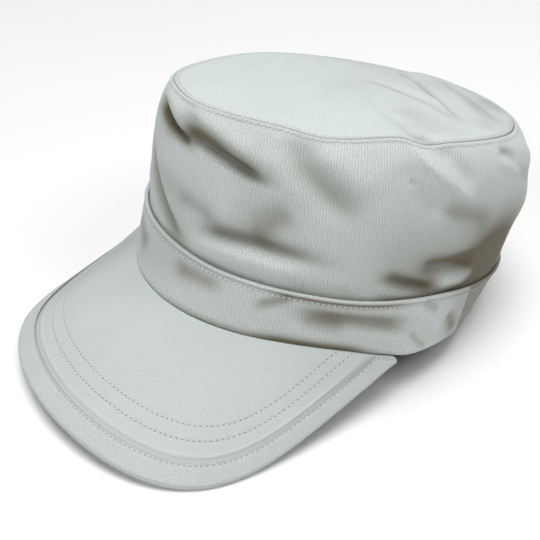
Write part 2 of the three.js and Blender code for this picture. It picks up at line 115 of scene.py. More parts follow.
# Shares over which folds fade out toward the edges of their panel
BAND_DENT_MARGIN = 0.3
SIDE_FOOT_MARGIN = 0.05
SIDE_SEAM_MARGIN = 0.06
TOP_SEAM_MARGIN = 0.12
TOP_MIDDLE_MARGIN = (0.15, 0.5)
FOLD_END_MARGIN = 0.3  # share of its line over which a fold dies away at each end
FOLD_REACH = 2.8  # widths past which a fold is too faint to count
BEZIER_POINTS = 13

# Half width, reach to the front and rear, and how square the front and rear are
RIM_OUTLINE = (RIM_HALF_WIDTH, RIM_FRONT, RIM_REAR, 1.9, 1.9)
BAND_TOP_OUTLINE = (BAND_TOP_HALF_WIDTH, BAND_TOP_FRONT, BAND_TOP_REAR, 2.2, 2.45)
SEAM_OUTLINE = (SEAM_HALF_WIDTH, SEAM_FRONT, SEAM_REAR, 1.93, 1.9)

# Heights round the head: angle, share of the band's height or of the crown's
RIM_LEVEL = [
    (0, 0.067), (15, 0.07), (30, 0.1), (45, 0.14), (60, 0.11), (72, 0), (82, -0.1), (92, -0.07),
    (105, -0.056), (120, -0.077), (150, -0.053), (180, -0.028),
]
BAND_TOP_LEVEL = [
    (0, 1), (15, 1.02), (30, 1.06), (45, 1.08), (60, 1.05), (75, 1.02), (90, 0.96), (105, 0.86),
    (120, 0.8), (150, 0.79), (180, 0.81),
]
SEAM_LEVEL = [
    (0, 1.004), (15, 1.016), (30, 1.022), (42, 1.007), (51, 1.018), (60, 1.04), (66, 1.046), (74, 1.02),
    (82, 1.03), (94, 1.031), (105, 1.022), (117, 1.008), (135, 0.994), (150, 0.983), (165, 0.976),
    (180, 0.968), (195, 0.958), (210, 0.945), (240, 0.938), (270, 0.945), (300, 0.952), (330, 0.98),
    (345, 1.003),
]

# Folds, each as its rise in millimetres, its width above and below its line, and the line itself: the control
# points of a Bezier curve. A negative rise is a groove. A fold dies away toward the ends of its line.

# On the side panel, by angle and level
SIDE_FOLDS = [
    (1.6, 5.5, 3.2, [(-18, 0.93), (-8, 0.88), (1, 0.8)]),  # under the front shoulder
    (-4.2, 3.0, 2.4, [(-22, 0.83), (-10, 0.72), (-3, 0.65), (6, 0.665)]),
    (1.8, 6.0, 3.0, [(0, 0.93), (10, 0.86), (20, 0.78), (32, 0.66)]),
    (-4.4, 3.0, 2.5, [(-1, 0.7), (9, 0.72), (17, 0.67), (23, 0.59), (35, 0.57)]),
    (-3.4, 7.5, 5.5, [(33, 0.93), (38, 0.78), (45, 0.6), (57, 0.42)]),  # slanting on toward the side
    (1.4, 6.0, 7.0, [(44, 0.93), (52, 0.76), (60, 0.56)]),
    (1.0, 6.0, 6.0, [(26, 0.78), (36, 0.66), (44, 0.48)]),
    (-1.5, 5.5, 4.5, [(40, 0.48), (32, 0.39), (24, 0.28)]),
    (-3.4, 4.5, 2.6, [(9, 0.17), (18, 0.225), (28, 0.2), (50, 0.185)]),  # slack above the band
    (0.9, 5.0, 5.0, [(10, 0.34), (24, 0.31), (42, 0.3)]),
    (2.5, 3.8, 4.0, [(2, 0.05), (18, 0.13), (34, 0.12), (50, 0.09)]),
    (-0.9, 4.0, 4.0, [(1, 0.33), (8, 0.3), (15, 0.27)]),
    (-2.8, 4.5, 3.2, [(-32, 0.56), (-19, 0.26), (-13, 0.1), (8, -0.04)]),  # down the wearer's right front
    (1.0, 4.0, 4.0, [(-30, 0.3), (-22, 0.12), (-12, 0.02)]),
    (2.6, 3.3, 3.3, [(67, 1.02), (74.5, 0.82), (82.5, 0.69), (93, 0.5)]),  # ridge back from the top seam
    (-1.8, 4.0, 4.0, [(76, 0.97), (84, 0.82), (91, 0.65)]),
    (-1.6, 5.0, 5.0, [(64, 0.82), (73, 0.66), (82, 0.5)]),
    (-2.4, 5.0, 3.5, [(76, 0.56), (88, 0.51), (100, 0.45)]),
    (-0.9, 1.6, 1.6, [(69, 0.72), (71, 0.67)]),
    (-1.3, 2.5, 2.3, [(100, 0.88), (108, 0.84)]),
    (1.0, 2.5, 2.5, [(98, 0.85), (106, 0.76), (116, 0.66)]),
    (1.5, 5.5, 5.5, [(112, 1.0), (122, 0.76), (144, 0.6)]),
    (-1.0, 3.2, 3.2, [(95, 0.75), (97, 0.5), (97, 0.32)]),
    (-3.4, 5.0, 3.0, [(76, 0.18), (88, 0.14), (102, 0.17)]),  # hollows low at the side
    (1.2, 5.0, 4.0, [(72, 0.3), (86, 0.28), (100, 0.3)]),
    (-3.0, 3.5, 1.8, [(65, 0.15), (75, 0.075), (89, 0.0)]),
    (1.6, 2.0, 2.0, [(63, 0.08), (72, 0.03), (82, -0.02)]),
    (1.8, 2.6, 2.6, [(84, 0.06), (93, 0.065), (101, 0.05)]),
    (0.35, 2.6, 2.6, [(98.5, 0.36), (99.5, 0.2), (100, 0.02)]),
    (2.2, 10.0, 10.0, [(112, 0.52), (128, 0.42), (150, 0.36)]),
    (-1.9, 6.5, 4.5, [(146, 0.9), (156, 0.62), (166, 0.34)]),  # behind the head
    (-2.2, 7.5, 5.0, [(136, 0.18), (158, 0.23), (182, 0.26)]),
    (-1.6, 7.0, 4.5, [(-174, 0.76), (-165, 0.55), (-156, 0.34)]),
    (-2.5, 7.0, 4.0, [(-154, 0.25), (-134, 0.22), (-114, 0.2)]),
    (-1.8, 6.5, 4.0, [(-126, 0.92), (-118, 0.67), (-110, 0.42)]),  # on the wearer's right
    (-2.2, 7.0, 4.0, [(-96, 0.36), (-79, 0.28), (-62, 0.2)]),
    (-2.2, 5.5, 3.0, [(-74, 0.9), (-61, 0.72), (-48, 0.54)]),
    (1.3, 5.5, 4.5, [(-89, 0.88), (-80, 0.65), (-71, 0.42)]),
]

# On the top panel, by x and y as shares of the seam's half width and reach
TOP_FOLDS = [
    (-1.6, 3.5, 3.5, [(-0.3, 0.1), (0.14, 0.23), (0.34, 0.46), (0.84, 0.13)]),
    (1.3, 4.0, 4.0, [(-0.2, 0.34), (0.3, 0.45), (0.82, 0.2)]),
    (-1.9, 3.0, 3.0, [(-0.5, 0.8), (-0.16, 0.67), (0.47, 0.37), (0.84, 0.19)]),
    (1.2, 4.0, 4.0, [(0.0, 0.74), (0.4, 0.6), (0.86, 0.32)]),
    (-1.7, 3.0, 3.0, [(-0.2, 0.81), (0.09, 0.89), (0.48, 0.71), (0.93, 0.42)]),
    (-1.0, 5.0, 5.0, [(-0.6, 0.58), (-0.3, 0.62), (0.0, 0.76)]),
    (2.3, 8.0, 8.0, [(-0.46, 0.84), (-0.14, 0.87), (0.16, 0.89)]),
    (-1.0, 2.5, 2.5, [(0.52, 0.76), (0.7, 0.66), (0.86, 0.5)]),
    (-1.8, 4.5, 4.5, [(0.48, -0.09), (0.7, -0.17), (0.93, -0.25)]),
    (-1.7, 3.0, 3.0, [(0.76, -0.17), (0.86, -0.22), (0.95, -0.26)]),
]

# On the band, by angle and share of its height
BAND_FOLDS = [
    (-0.8, 4.0, 3.5, [(0, 0.66), (9, 0.7), (16, 0.74)]),
    (-0.7, 2.0, 2.0, [(39, 0.86), (33, 0.62)]),
    (-1.7, 3.0, 2.2, [(40, 0.68), (58, 0.7), (70, 0.66), (84, 0.54)]),
    (0.9, 3.0, 3.5, [(54, 0.44), (68, 0.38), (80, 0.28)]),
    (-0.5, 5.0, 4.0, [(42, 0.5), (56, 0.44)]),
    (1.2, 3.0, 3.0, [(78, 0.95), (86, 0.6), (92, 0.2)]),
    (-0.8, 1.6, 1.6, [(78, 0.6), (84, 0.3), (89, 0.08)]),
    (-0.9, 3.0, 3.0, [(95, 0.66), (100, 0.26)]),
]

# Painted shade, in the same form, with how deep it is in place of the rise. A negative depth takes painted
# shade away.
SIDE_SHADES = [
    (0.9, 4.6, 3.6, [(-23, 0.8), (-11, 0.73), (-3, 0.66), (9, 0.67)]),
    (0.85, 5.2, 4.6, [(-5, 0.79), (6, 0.77), (16, 0.73), (23, 0.61), (35, 0.57)]),
    (0.2, 7.0, 7.0, [(-2, 0.83), (8, 0.78), (19, 0.68)]),
    (0.3, 3.5, 8.0, [(-26, 0.86), (-14, 0.75), (-1, 0.65)]),
    (0.14, 9.0, 9.0, [(18, 0.34), (28, 0.4), (38, 0.38)]),
    (0.4, 6.0, 5.0, [(33, 0.86), (41, 0.7), (47, 0.58), (60, 0.45)]),
    (0.42, 5.5, 5.0, [(40, 0.47), (34, 0.36), (25, 0.23)]),
    (0.62, 4.0, 2.8, [(7, 0.15), (18, 0.23), (30, 0.23), (58, 0.19)]),
    (0.3, 4.0, 3.5, [(-2, 0.31), (8, 0.305), (18, 0.26)]),
    (0.6, 5.5, 4.0, [(-32, 0.52), (-18, 0.24), (-13, 0.1), (9, -0.04)]),
    (0.18, 6.0, 6.0, [(-18, 0.37), (-6, 0.33), (6, 0.29)]),
    (0.36, 4.6, 3.8, [(73, 0.2), (90, 0.18), (112, 0.2)]),
    (0.5, 3.8, 2.6, [(62, 0.14), (76, 0.08), (92, 0.02)]),
    (0.25, 3.0, 3.0, [(36, 0.02), (50, 0.04), (64, 0.03)]),
    (0.32, 5.0, 4.5, [(79, 0.55), (90, 0.5), (103, 0.42)]),
    (0.15, 4.5, 4.0, [(68, 0.7), (79, 0.52)]),
    (0.3, 3.2, 2.8, [(99, 0.9), (112, 0.83)]),
    (0.25, 3.0, 4.0, [(107, 0.78), (118, 0.68), (130, 0.6), (146, 0.56)]),
    (-0.5, 3.4, 2.8, [(84, 0.08), (95, 0.09), (106, 0.08)]),
    (-0.12, 9.0, 8.0, [(-20, 0.52), (8, 0.56), (32, 0.46)]),
    (-0.12, 4.0, 3.0, [(0, 0.06), (20, 0.12), (44, 0.1)]),
]

# Wide painted shade low on the side panel: how deep, the angles over which it comes in, the levels over which
# it goes out at the front strip's end, and how much lower those are for each degree farther round
WIDE_SHADES = [
    (0.42, 50, 84, 0.15, 0.62, 0.0),
    (0.56, 84, 110, 0.22, 0.56, 0.003),
    (0.28, 92, 110, 0.44, 0.72, 0.0),
]
WIDE_SHADE_ENDS = (112, 132)  # it fades behind the head, to the share below
WIDE_SHADE_BEHIND = 0.15
WIDE_SHADE_RIGHT = 0.4  # its share on the wearer's right

# Painted shade on the top panel, in the same form
TOP_SHADES = [
    (0.36, 3.2, 3.2, [(0.74, -0.17), (0.86, -0.22), (0.97, -0.26)]),
    (0.14, 7.0, 7.0, [(0.4, 0.0), (0.65, -0.07), (0.92, -0.16)]),
    (0.12, 9.0, 9.0, [(0.35, 0.05), (1.0, 0.0)]),
    (0.18, 2.4, 2.8, [(-0.3, 0.1), (0.14, 0.23), (0.34, 0.46), (0.84, 0.13)]),
    (0.26, 2.0, 2.6, [(-0.5, 0.8), (-0.16, 0.67), (0.47, 0.37), (0.84, 0.19)]),
    (0.2, 2.6, 3.0, [(-0.2, 0.81), (0.09, 0.89), (0.48, 0.71), (0.93, 0.42)]),
    (0.18, 4.5, 4.5, [(0.3, 0.66), (0.52, 0.56), (0.76, 0.42)]),
    (0.14, 5.0, 5.0, [(0.66, 0.46), (0.78, 0.36), (0.9, 0.28)]),
    (0.2, 5.0, 5.0, [(0.24, 0.9), (0.42, 0.82), (0.6, 0.72)]),
]
# Painted shade on the band, in the same form, with painted shadow under its hem and along its row of stitches
BAND_SHADES = [
    (0.5, 4.5, 4.0, [(0, 0.64), (12, 0.67), (24, 0.78)]),
    (0.42, 4.0, 6.0, [(-32, 0.7), (-22, 0.6), (-12, 0.5)]),
    (0.18, 12.0, 12.0, [(-30, 0.4), (-5, 0.6), (16, 0.85)]),
    (0.55, 2.8, 2.8, [(43, 0.94), (38, 0.76), (31, 0.56)]),
    (0.72, 4.4, 4.2, [(38, 0.67), (58, 0.64), (70, 0.6), (82, 0.5)]),
    (0.35, 4.5, 4.0, [(44, 0.52), (60, 0.44)]),
    (0.6, 2.2, 2.0, [(-22, -0.01), (30, 0.04), (62, 0.05), (84, -0.04)]),
    (0.45, 3.4, 3.0, [(30, 0.04), (52, 0.08), (73, 0.04)]),
    (0.6, 1.9, 1.7, [(30, 0.93), (56, 0.9), (82, 0.93)]),
    (0.45, 3.5, 3.5, [(95, 0.6), (101, 0.1)]),
    (0.35, 2.5, 2.5, [(82, 0.94), (91, 0.72)]),
    (0.4, 1.5, 1.5, [(79, 0.48), (84, 0.22), (89, 0.02)]),
    (-0.1, 4.0, 4.0, [(58, 0.3), (70, 0.28), (80, 0.2)]),
]


# Curves and folds

def smoothstep(value, low, high):
    share = np.clip((value - low) / (high - low), 0, 1)
    return share * share * (3 - 2 * share)


def bell(value, middle, width):
    """1 at the middle, falling softly to 0 over about two widths."""
    return np.exp(-(((value - middle) / width) ** 2))


def round_the_head(rows):
    """A smooth closed curve through the rows of angle and value. Rows that end at 180 are mirrored."""
    other_side = [(-angle, value) for angle, value in rows[1:-1]][::-1] if rows[-1][0] == 180 else []
    turn = other_side + rows
    knots = np.array([angle + whole for whole in (-360, 0, 360) for angle, _ in turn], float)
    values = np.array([value for _ in range(3) for _, value in turn], float)
    slopes = np.zeros(len(knots))
    slopes[1:-1] = (values[2:] - values[:-2]) / (knots[2:] - knots[:-2])

    def at(angle):
        left = np.clip(np.searchsorted(knots, angle, "right") - 1, 0, len(knots) - 2)
        span = knots[left + 1] - knots[left]
        t = (angle - knots[left]) / span
        ends = values[left] * (1 + 2 * t) * (1 - t) ** 2 + values[left + 1] * t * t * (3 - 2 * t)
        return ends + span * (slopes[left] * t * (1 - t) ** 2 + slopes[left + 1] * t * t * (t - 1))

    return at


rim_level = round_the_head(RIM_LEVEL)
band_top_level = round_the_head(BAND_TOP_LEVEL)
seam_level = round_the_head(SEAM_LEVEL)


def plan_point(outline, angle):
    half_width, front, rear, front_power, rear_power = outline
    side = np.sin(np.radians(angle))
    ahead = np.cos(np.radians(angle))
    power = np.where(ahead >= 0, front_power, rear_power)
    reach = np.where(ahead >= 0, front, rear)
    spread = (np.abs(side) ** power + np.abs(ahead) ** power) ** (-1 / power)
    return np.column_stack([half_width * side * spread, -reach * ahead * spread])


def unit(vectors):
    return vectors / np.linalg.norm(vectors, axis=1, keepdims=True)


def inward(curve, angle):
    """The level direction into the head, square to a plan curve."""
    along = curve(angle + 0.5) - curve(angle - 0.5)
    return unit(np.column_stack([-along[:, 1], along[:, 0]]))


def bezier(route):
    """Points along a Bezier curve."""
    share = np.linspace(0, 1, BEZIER_POINTS)[:, None, None]
    points = np.repeat(np.array(route, float)[None], BEZIER_POINTS, axis=0)
    while points.shape[1] > 1:
        points = points[:, :-1] * (1 - share) + points[:, 1:] * share
    return points[:, 0]


def fold_rise(folds, x, y, x_size, y_size, wraps=False):
    """How far a table of folds lifts each place. The sizes are the millimetres in one unit of x and of y."""
    rise = np.zeros(len(x))
    for height, above, below, route in folds:
        line = bezier(route) * (x_size, y_size)
        beyond = x - route[0][0]
        if wraps:
            beyond = beyond - 360 * np.round(beyond / 360)
        places = np.column_stack([(beyond + route[0][0]) * x_size, y * y_size])
        margin = FOLD_REACH * max(above, below)
        near = ((places > line.min(axis=0) - margin) & (places < line.max(axis=0) + margin)).all(axis=1)
        places = places[near]
        nearest = np.full(len(places), np.inf)
        lift = np.zeros(len(places))
        for number, (start, end) in enumerate(zip(line[:-1], line[1:])):
            run = end - start
            gap = places - start
            share = np.clip(gap @ run / (run @ run), 0, 1)
            miss = gap - share[:, None] * run
            distance = np.hypot(miss[:, 0], miss[:, 1])
            side = (run[0] * miss[:, 1] - run[1] * miss[:, 0]) / np.maximum(distance * np.hypot(*run), 1e-9)
            width = below + (above - below) * (0.5 + 0.5 * side)
            along = (number + share) / (len(line) - 1)
            ends = smoothstep(along, 0, FOLD_END_MARGIN) * smoothstep(1 - along, 0, FOLD_END_MARGIN)
            closer = distance < nearest
            lift = np.where(closer, height * ends * np.exp(-((distance / width) ** 2)), lift)
            nearest = np.minimum(distance, nearest)
        rise[near] += lift
    return rise


# The surfaces of the upright cap

BAND_DEGREE = math.radians(RIM_HALF_WIDTH)
WALL_HEIGHT = CROWN_HEIGHT - BAND_HEIGHT
WALL_DEGREE = math.radians((SEAM_HALF_WIDTH + BAND_TOP_HALF_WIDTH) / 2)
TUCK_DEPTH = BAND_CLOTH + LAYER_GAP
EDGE_COVER = BINDING_GAP + BINDING_CLOTH
PEAK_ROOT = PEAK_ROOT_SHARE * RIM_FRONT
PEAK_HALF_WIDTH = PEAK_WIDTH_SHARE * RIM_HALF_WIDTH - EDGE_COVER
PEAK_LENGTH = RIM_FRONT + PEAK_REACH - EDGE_COVER - PEAK_ROOT
PEAK_TUCK = BAND_CLOTH + CROWN_CLOTH
PEAK_TUCK_DROP = LAYER_GAP


def band_folds(folds, angle, share):
    return fold_rise(folds, angle, share, BAND_DEGREE, BAND_HEIGHT, True)


def band_dent(angle, share):
    fade = smoothstep(share, 0, BAND_DENT_MARGIN) * smoothstep(1 - share, 0, BAND_DENT_MARGIN)
    return band_folds(BAND_FOLDS, angle, share) * fade


def band_point(angle, share, depth):
    """A point of the band's wall: share 0 at its hem, 1 at its upper edge, and depth in from the outer
    face."""
    share = np.broadcast_to(share, angle.shape)[:, None]

    def curve(at):
        return plan_point(RIM_OUTLINE, at) * (1 - share) + plan_point(BAND_TOP_OUTLINE, at) * share

    share_flat = share[:, 0]
    plan = curve(angle) + inward(curve, angle) * (depth - band_dent(angle, share_flat))[:, None]
    level = rim_level(angle) * (1 - share_flat) + band_top_level(angle) * share_flat
    return np.column_stack([plan, BAND_HEIGHT * level])


def seam_plan(angle):
    return plan_point(SEAM_OUTLINE, angle) * (1 + SEAM_CORNERS * np.cos(np.radians(3 * angle)))[:, None]


def side_folds(folds, angle, level):
    return fold_rise(folds, angle, level, WALL_DEGREE, WALL_HEIGHT, True)


def side_fold(angle, level):
    fade = smoothstep(level, 0, SIDE_FOOT_MARGIN) * smoothstep(1 - level, 0, SIDE_SEAM_MARGIN)
    return side_folds(SIDE_FOLDS, angle, level) * fade


def side_point(angle, level):
    """A point of the side panel's outer face: level 0 at the band's upper edge, 1 at the top seam, and below
    0 where it is tucked into the band."""
    above = np.clip(level, 0, 1)
    low = band_point(angle, 1.0, TUCK_DEPTH * (1 - above))
    plan = low[:, :2] * (1 - above)[:, None] + seam_plan(angle) * above[:, None]
    fullness = SIDE_BULGE - REAR_BULGE * np.cos(np.radians(angle))
    bulge = fullness * 4 * above * (1 - above) * (0.5 + above) + side_fold(angle, above)
    plan = plan * (1 + bulge / np.linalg.norm(plan, axis=1))[:, None]
    climb = 1 - (1 - above) ** WALL_CLIMB
    height = low[:, 2] * (1 - climb) + CROWN_HEIGHT * seam_level(angle) * climb
    points = np.column_stack([plan, height])
    tucked = level < 0
    if tucked.any():
        share = 1 + level[tucked] * WALL_HEIGHT / BAND_HEIGHT
        points[tucked] = band_point(angle[tucked], share, np.full(share.shape, TUCK_DEPTH))
    return points


def reach_share(plan):
    """How far a place is toward the rear, as a share of the seam's reach."""
    return plan[:, 1] / np.where(plan[:, 1] < 0, SEAM_FRONT, SEAM_REAR)


def top_folds(folds, plan):
    return fold_rise(folds, plan[:, 0] / SEAM_HALF_WIDTH, reach_share(plan), SEAM_HALF_WIDTH, SEAM_FRONT)


def top_point(angle, share):
    """A point of the top panel's outer face: share 1 at the seam and 0 in the middle."""
    plan = seam_plan(angle) * (share * (1 - SEAM_GAP / SEAM_HALF_WIDTH))[:, None]
    level = MEAN_SEAM_LEVEL * (1 - share ** 2) + seam_level(angle) * share ** 2
    fade = smoothstep(share, *TOP_MIDDLE_MARGIN) * smoothstep(1 - share, 0, TOP_SEAM_MARGIN)
    height = CROWN_HEIGHT * level + TOP_DOME * (1 - share ** 2) + top_folds(TOP_FOLDS, plan) * fade
    return np.column_stack([plan, height])


def peak_outline(bearing):
    """The peak's edge, from a point in the head, found by halving the distance again and again."""
    side = np.sin(np.radians(bearing))
    front = np.cos(np.radians(bearing))
    across = np.abs(side) / PEAK_HALF_WIDTH
    ahead = front / PEAK_LENGTH
    near = np.zeros(len(bearing))
    far = near + PEAK_HALF_WIDTH + PEAK_LENGTH
    for _ in range(40):
        middle = (near + far) / 2
        inside = (across * middle) ** PEAK_SIDE_POWER + (ahead * middle) ** PEAK_FRONT_POWER < 1
        near = np.where(inside, middle, near)
        far = np.where(inside, far, middle)
    return np.column_stack([near * side, -PEAK_ROOT - near * front])


def peak_slope(plan):
    ahead = -plan[:, 1] - RIM_FRONT
    arch = PEAK_ARCH * (1 - PEAK_FLATTENING * ahead / PEAK_REACH)
    fall = math.tan(math.radians(PEAK_SLOPE)) * ahead
    return PEAK_START_LEVEL * BAND_HEIGHT - fall - arch * (plan[:, 0] / PEAK_HALF_WIDTH) ** 2


def peak_point(position, share):
    """A point of the peak's upper face, on the line from the band, share 0, to its edge, share 1. The
    position runs from -1 on the wearer's right to 1 on the left."""
    rim = band_point(position * PEAK_END_ANGLE, 0.0, np.full(position.shape, -SEAM_GAP))
    start = rim[:, :2]
    plan = start * (1 - share)[:, None] + peak_outline(position * PEAK_END_BEARING) * share[:, None]
    step = rim[:, 2] - PEAK_TUCK_DROP - peak_slope(start)
    return np.column_stack([plan, peak_slope(plan) + step * (1 - smoothstep(share, 0, PEAK_STEP_SHARE))])


def peak_line_length(position):
    steps = 12
    spots = [peak_point(position, np.full(position.shape, step / steps)) for step in range(steps + 1)]
    return sum(np.linalg.norm(b - a, axis=1) for a, b in zip(spots, spots[1:]))


def peak_fullness(length):
    return smoothstep(length, 2 * PEAK_THICKNESS, 10 * PEAK_THICKNESS)


def peak_normal(position, share, length):
    """The direction out of the peak's upper face. Where the peak runs out it is the same along a line."""
    fullness = peak_fullness(length)
    low = np.clip(0.6 * (1 - fullness) + share * fullness, 0.02, 0.98)
    along = peak_point(position + 0.01, low) - peak_point(position - 0.01, low)
    outward = peak_point(position, low + 0.02) - peak_point(position, low - 0.02)
    return unit(np.cross(outward, along))


def rest(points):
    """Points of the upright cap, in millimetres, where the cap lies, in metres."""
    cos = math.cos(REST_TIP)
    sin = math.sin(REST_TIP)
    x, y, z = points.T
    level = np.maximum(z * cos - y * sin - REST_SURFACE, 0)
    return np.column_stack([x, y * cos + z * sin + REST_SHIFT, level]) / 1000


# Making pieces

def cloth(name, columns, stations, place, painted_shade_at=None, whole_section=False, capped=False):
    """A grid moved to place(column, station). Columns and stations are lists of values. Its UV map is in
    millimetres of cloth, and the painted shade given for each column and station is kept as the attribute
    "shade"."""
    columns = np.array(columns, float)
    stations = np.array(stations, float)
    across = len(columns) - 1
    along = len(stations) - 1
    form = bmesh.new()
    form.loops.layers.uv.verify()
    shade = form.verts.layers.float.new("shade")
    bmesh.ops.create_grid(form, x_segments=across, y_segments=along, size=0.5, calc_uvs=True)
    flat = np.array([vert.co[:2] for vert in form.verts]) + 0.5
    column = columns[np.rint(flat[:, 0] * across).astype(int)]
    station = stations[np.rint(flat[:, 1] * along).astype(int)]
    shades = painted_shade_at(column, station) if painted_shade_at else np.zeros(len(column))
    for vert, spot, amount in zip(form.verts, rest(place(column, station)), shades):
        vert.co = spot
        vert[shade] = amount
    bmesh.ops.remove_doubles(form, verts=form.verts, dist=1e-6)
    if capped:
        bmesh.ops.holes_fill(form, edges=form.edges, sides=0)
    if whole_section:
        bmesh.ops.recalc_face_normals(form, faces=form.faces)
    for face in form.faces:
        face.smooth = True
    piece = finished(name, form)

    # The UV map follows the cloth's mean length and width
    grid = place(np.tile(columns, along + 1), np.repeat(stations, across + 1))
    grid = grid.reshape(along + 1, across + 1, 3)
    lengths = np.linalg.norm(np.diff(grid, axis=1), axis=2).mean(axis=0)
    widths = np.linalg.norm(np.diff(grid, axis=0), axis=2).mean(axis=1)
    layer = piece.data.uv_layers[0]
    spots = np.empty(len(layer.data) * 2, np.float32)
    layer.data.foreach_get("uv", spots)
    spots = spots.reshape(-1, 2)
    steps_u = np.linspace(0, 1, across + 1)
    steps_v = np.linspace(0, 1, along + 1)
    spots[:, 0] = np.interp(spots[:, 0], steps_u, np.concatenate([[0], np.cumsum(lengths)]))
    spots[:, 1] = np.interp(spots[:, 1], steps_v, np.concatenate([[0], np.cumsum(widths)]))
    layer.data.foreach_set("uv", spots.ravel())
    return piece


def finished(name, form):
    """The object of a bmesh, riding on the cap's one body."""
    mesh = bpy.data.meshes.new(name)
    form.to_mesh(mesh)
    form.free()
    piece = bpy.data.objects.new(name, mesh)
    bpy.context.scene.collection.objects.link(piece)
    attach(piece, "root")
    return piece


def thicken(piece, thickness):
    """Gives a sheet its cloth's thickness, inward from its outer face."""
    wall = piece.modifiers.new("cloth", "SOLIDIFY")
    wall.thickness = thickness / 1000
    wall.offset = -1


def surface_frames(surface, a, b, step_a, step_b):
    """Points of a surface in metres, with its direction along a and its outward normal there."""
    spots = rest(surface(a, b))
    along = unit(rest(surface(a + step_a, b)) - rest(surface(a - step_a, b)))
    up = rest(surface(a, b + step_b)) - rest(surface(a, b - step_b))
    return spots, along, unit(np.cross(along, up))


def stitch_row(name, surface, a, b, step_a, step_b, hole_size):
    """Lockstitches along a line of a surface: short threads, with small dark marks of painted shade in the
    needle's holes between them.
    """
    b = np.broadcast_to(b, a.shape)
    spots, along, out = surface_frames(surface, a, b, step_a, step_b)
    run = np.concatenate([[0], np.cumsum(np.linalg.norm(np.diff(spots, axis=0), axis=1))])
    count = int(run[-1] * 1000 / STITCH_PITCH)
    middles = (np.arange(count) + 0.5) * run[-1] / count
    form = bmesh.new()
    hole_half_sizes = (hole_size, hole_size, HOLE_DEPTH)
    stitches = ((THREAD_HALF_SIZES, THREAD_RISE, 0.0), (hole_half_sizes, 0.3 * THREAD_RISE, 0.5))
    for number, (half_sizes, lift, offset) in enumerate(stitches):
        for middle in middles + offset * run[-1] / count:
            spot = Vector([np.interp(middle, run, spots[:, axis]) for axis in range(3)])
            normal = Vector([np.interp(middle, run, out[:, axis]) for axis in range(3)]).normalized()
            line = Vector([np.interp(middle, run, along[:, axis]) for axis in range(3)]).normalized()
            side = normal.cross(line).normalized()
            turn = Matrix((line, side, normal)).transposed().to_4x4()
            size = Matrix.Diagonal((*(value / 1000 for value in half_sizes), 1))
            place = Matrix.Translation(spot + normal * lift / 1000) @ turn @ size
            made = bmesh.ops.create_icosphere(form, subdivisions=1, radius=1, matrix=place)
            for face in {face for vert in made["verts"] for face in vert.link_faces}:
                face.smooth = True
                face.material_index = number
    row = finished(name, form)
    row.data.materials.append(sewing_thread)
    row.data.materials.append(needle_hole_shade)
    return row


# Shader groups

def new_group(name, inputs, outputs):
    """A shader node group with its inputs and outputs, and its input and output nodes."""
    group = bpy.data.node_groups.new(name, "ShaderNodeTree")
    for label, kind, value in inputs:
        socket = group.interface.new_socket(name=label, in_out="INPUT", socket_type=kind)
        if value is not None:
            socket.default_value = value
    for label, kind in outputs:
        group.interface.new_socket(name=label, in_out="OUTPUT", socket_type=kind)
    return group, group.nodes.new("NodeGroupInput"), group.nodes.new("NodeGroupOutput")


def add_math(tree, operation, *values):
    """A Math node. A value is a number or another node's output."""
    node = tree.nodes.new("ShaderNodeMath")
    node.operation = operation
    for socket, value in zip(node.inputs, values):
        if isinstance(value, (int, float)):
            socket.default_value = value
        else:
            tree.links.new(value, socket)
    return node.outputs[0]


def add_noise(tree, vector, scale, detail=2.0, roughness=0.5):
    node = tree.nodes.new("ShaderNodeTexNoise")
    node.inputs["Scale"].default_value = scale
    node.inputs["Detail"].default_value = detail
    node.inputs["Roughness"].default_value = roughness
    tree.links.new(vector, node.inputs["Vector"])
    return node.outputs["Fac"]


def twill_group():
    """The weave: ribs across the cloth, each broken up by its yarns and a little uneven."""
    group, given, result = new_group(
        "twill weave",
        [("Cloth", "NodeSocketVector", None), ("Rib Pitch", "NodeSocketFloat", 1.3),
         ("Slant", "NodeSocketFloat", 0.1), ("Yarn Pitch", "NodeSocketFloat", 0.9),
         ("Yarn Share", "NodeSocketFloat", 0.35), ("Contrast", "NodeSocketFloat", 1.0)],
        [("Height", "NodeSocketFloat"), ("Tone", "NodeSocketFloat")],
    )
    split = group.nodes.new("ShaderNodeSeparateXYZ")
    group.links.new(given.outputs["Cloth"], split.inputs[0])
    uneven = add_noise(group, given.outputs["Cloth"], 0.35, 3.0)
    wander = add_math(group, "MULTIPLY", add_math(group, "SUBTRACT", uneven, 0.5), 1.6)
    leaning = add_math(group, "MULTIPLY", split.outputs["Y"], given.outputs["Slant"])
    across = add_math(group, "ADD", add_math(group, "ADD", split.outputs["X"], leaning), wander)
    rib_phase = add_math(group, "DIVIDE", across, given.outputs["Rib Pitch"])
    rib = add_math(group, "SINE", add_math(group, "MULTIPLY", rib_phase, math.tau))
    yarn_lean = add_math(group, "MULTIPLY", split.outputs["X"], 0.4)
    yarn_run = add_math(group, "ADD", split.outputs["Y"], yarn_lean)
    yarn_phase = add_math(group, "DIVIDE", yarn_run, given.outputs["Yarn Pitch"])
    yarn = add_math(group, "SINE", add_math(group, "MULTIPLY", yarn_phase, math.tau))
    yarns = add_math(group, "MULTIPLY", yarn, given.outputs["Yarn Share"])
    both = add_math(group, "ADD", rib, yarns)
    slubs = add_noise(group, given.outputs["Cloth"], 1.5, 3.0, 0.7)
    height = add_math(group, "ADD", add_math(group, "MULTIPLY", both, 0.3), slubs)
    group.links.new(height, result.inputs["Height"])
    tone = add_math(group, "ADD", add_math(group, "MULTIPLY", both, 0.11),
                    add_math(group, "MULTIPLY", add_math(group, "SUBTRACT", slubs, 0.5), 1.1))
    tone = add_math(group, "MULTIPLY", tone, given.outputs["Contrast"])
    group.links.new(add_math(group, "ADD", tone, 1.0), result.inputs["Tone"])
    return group


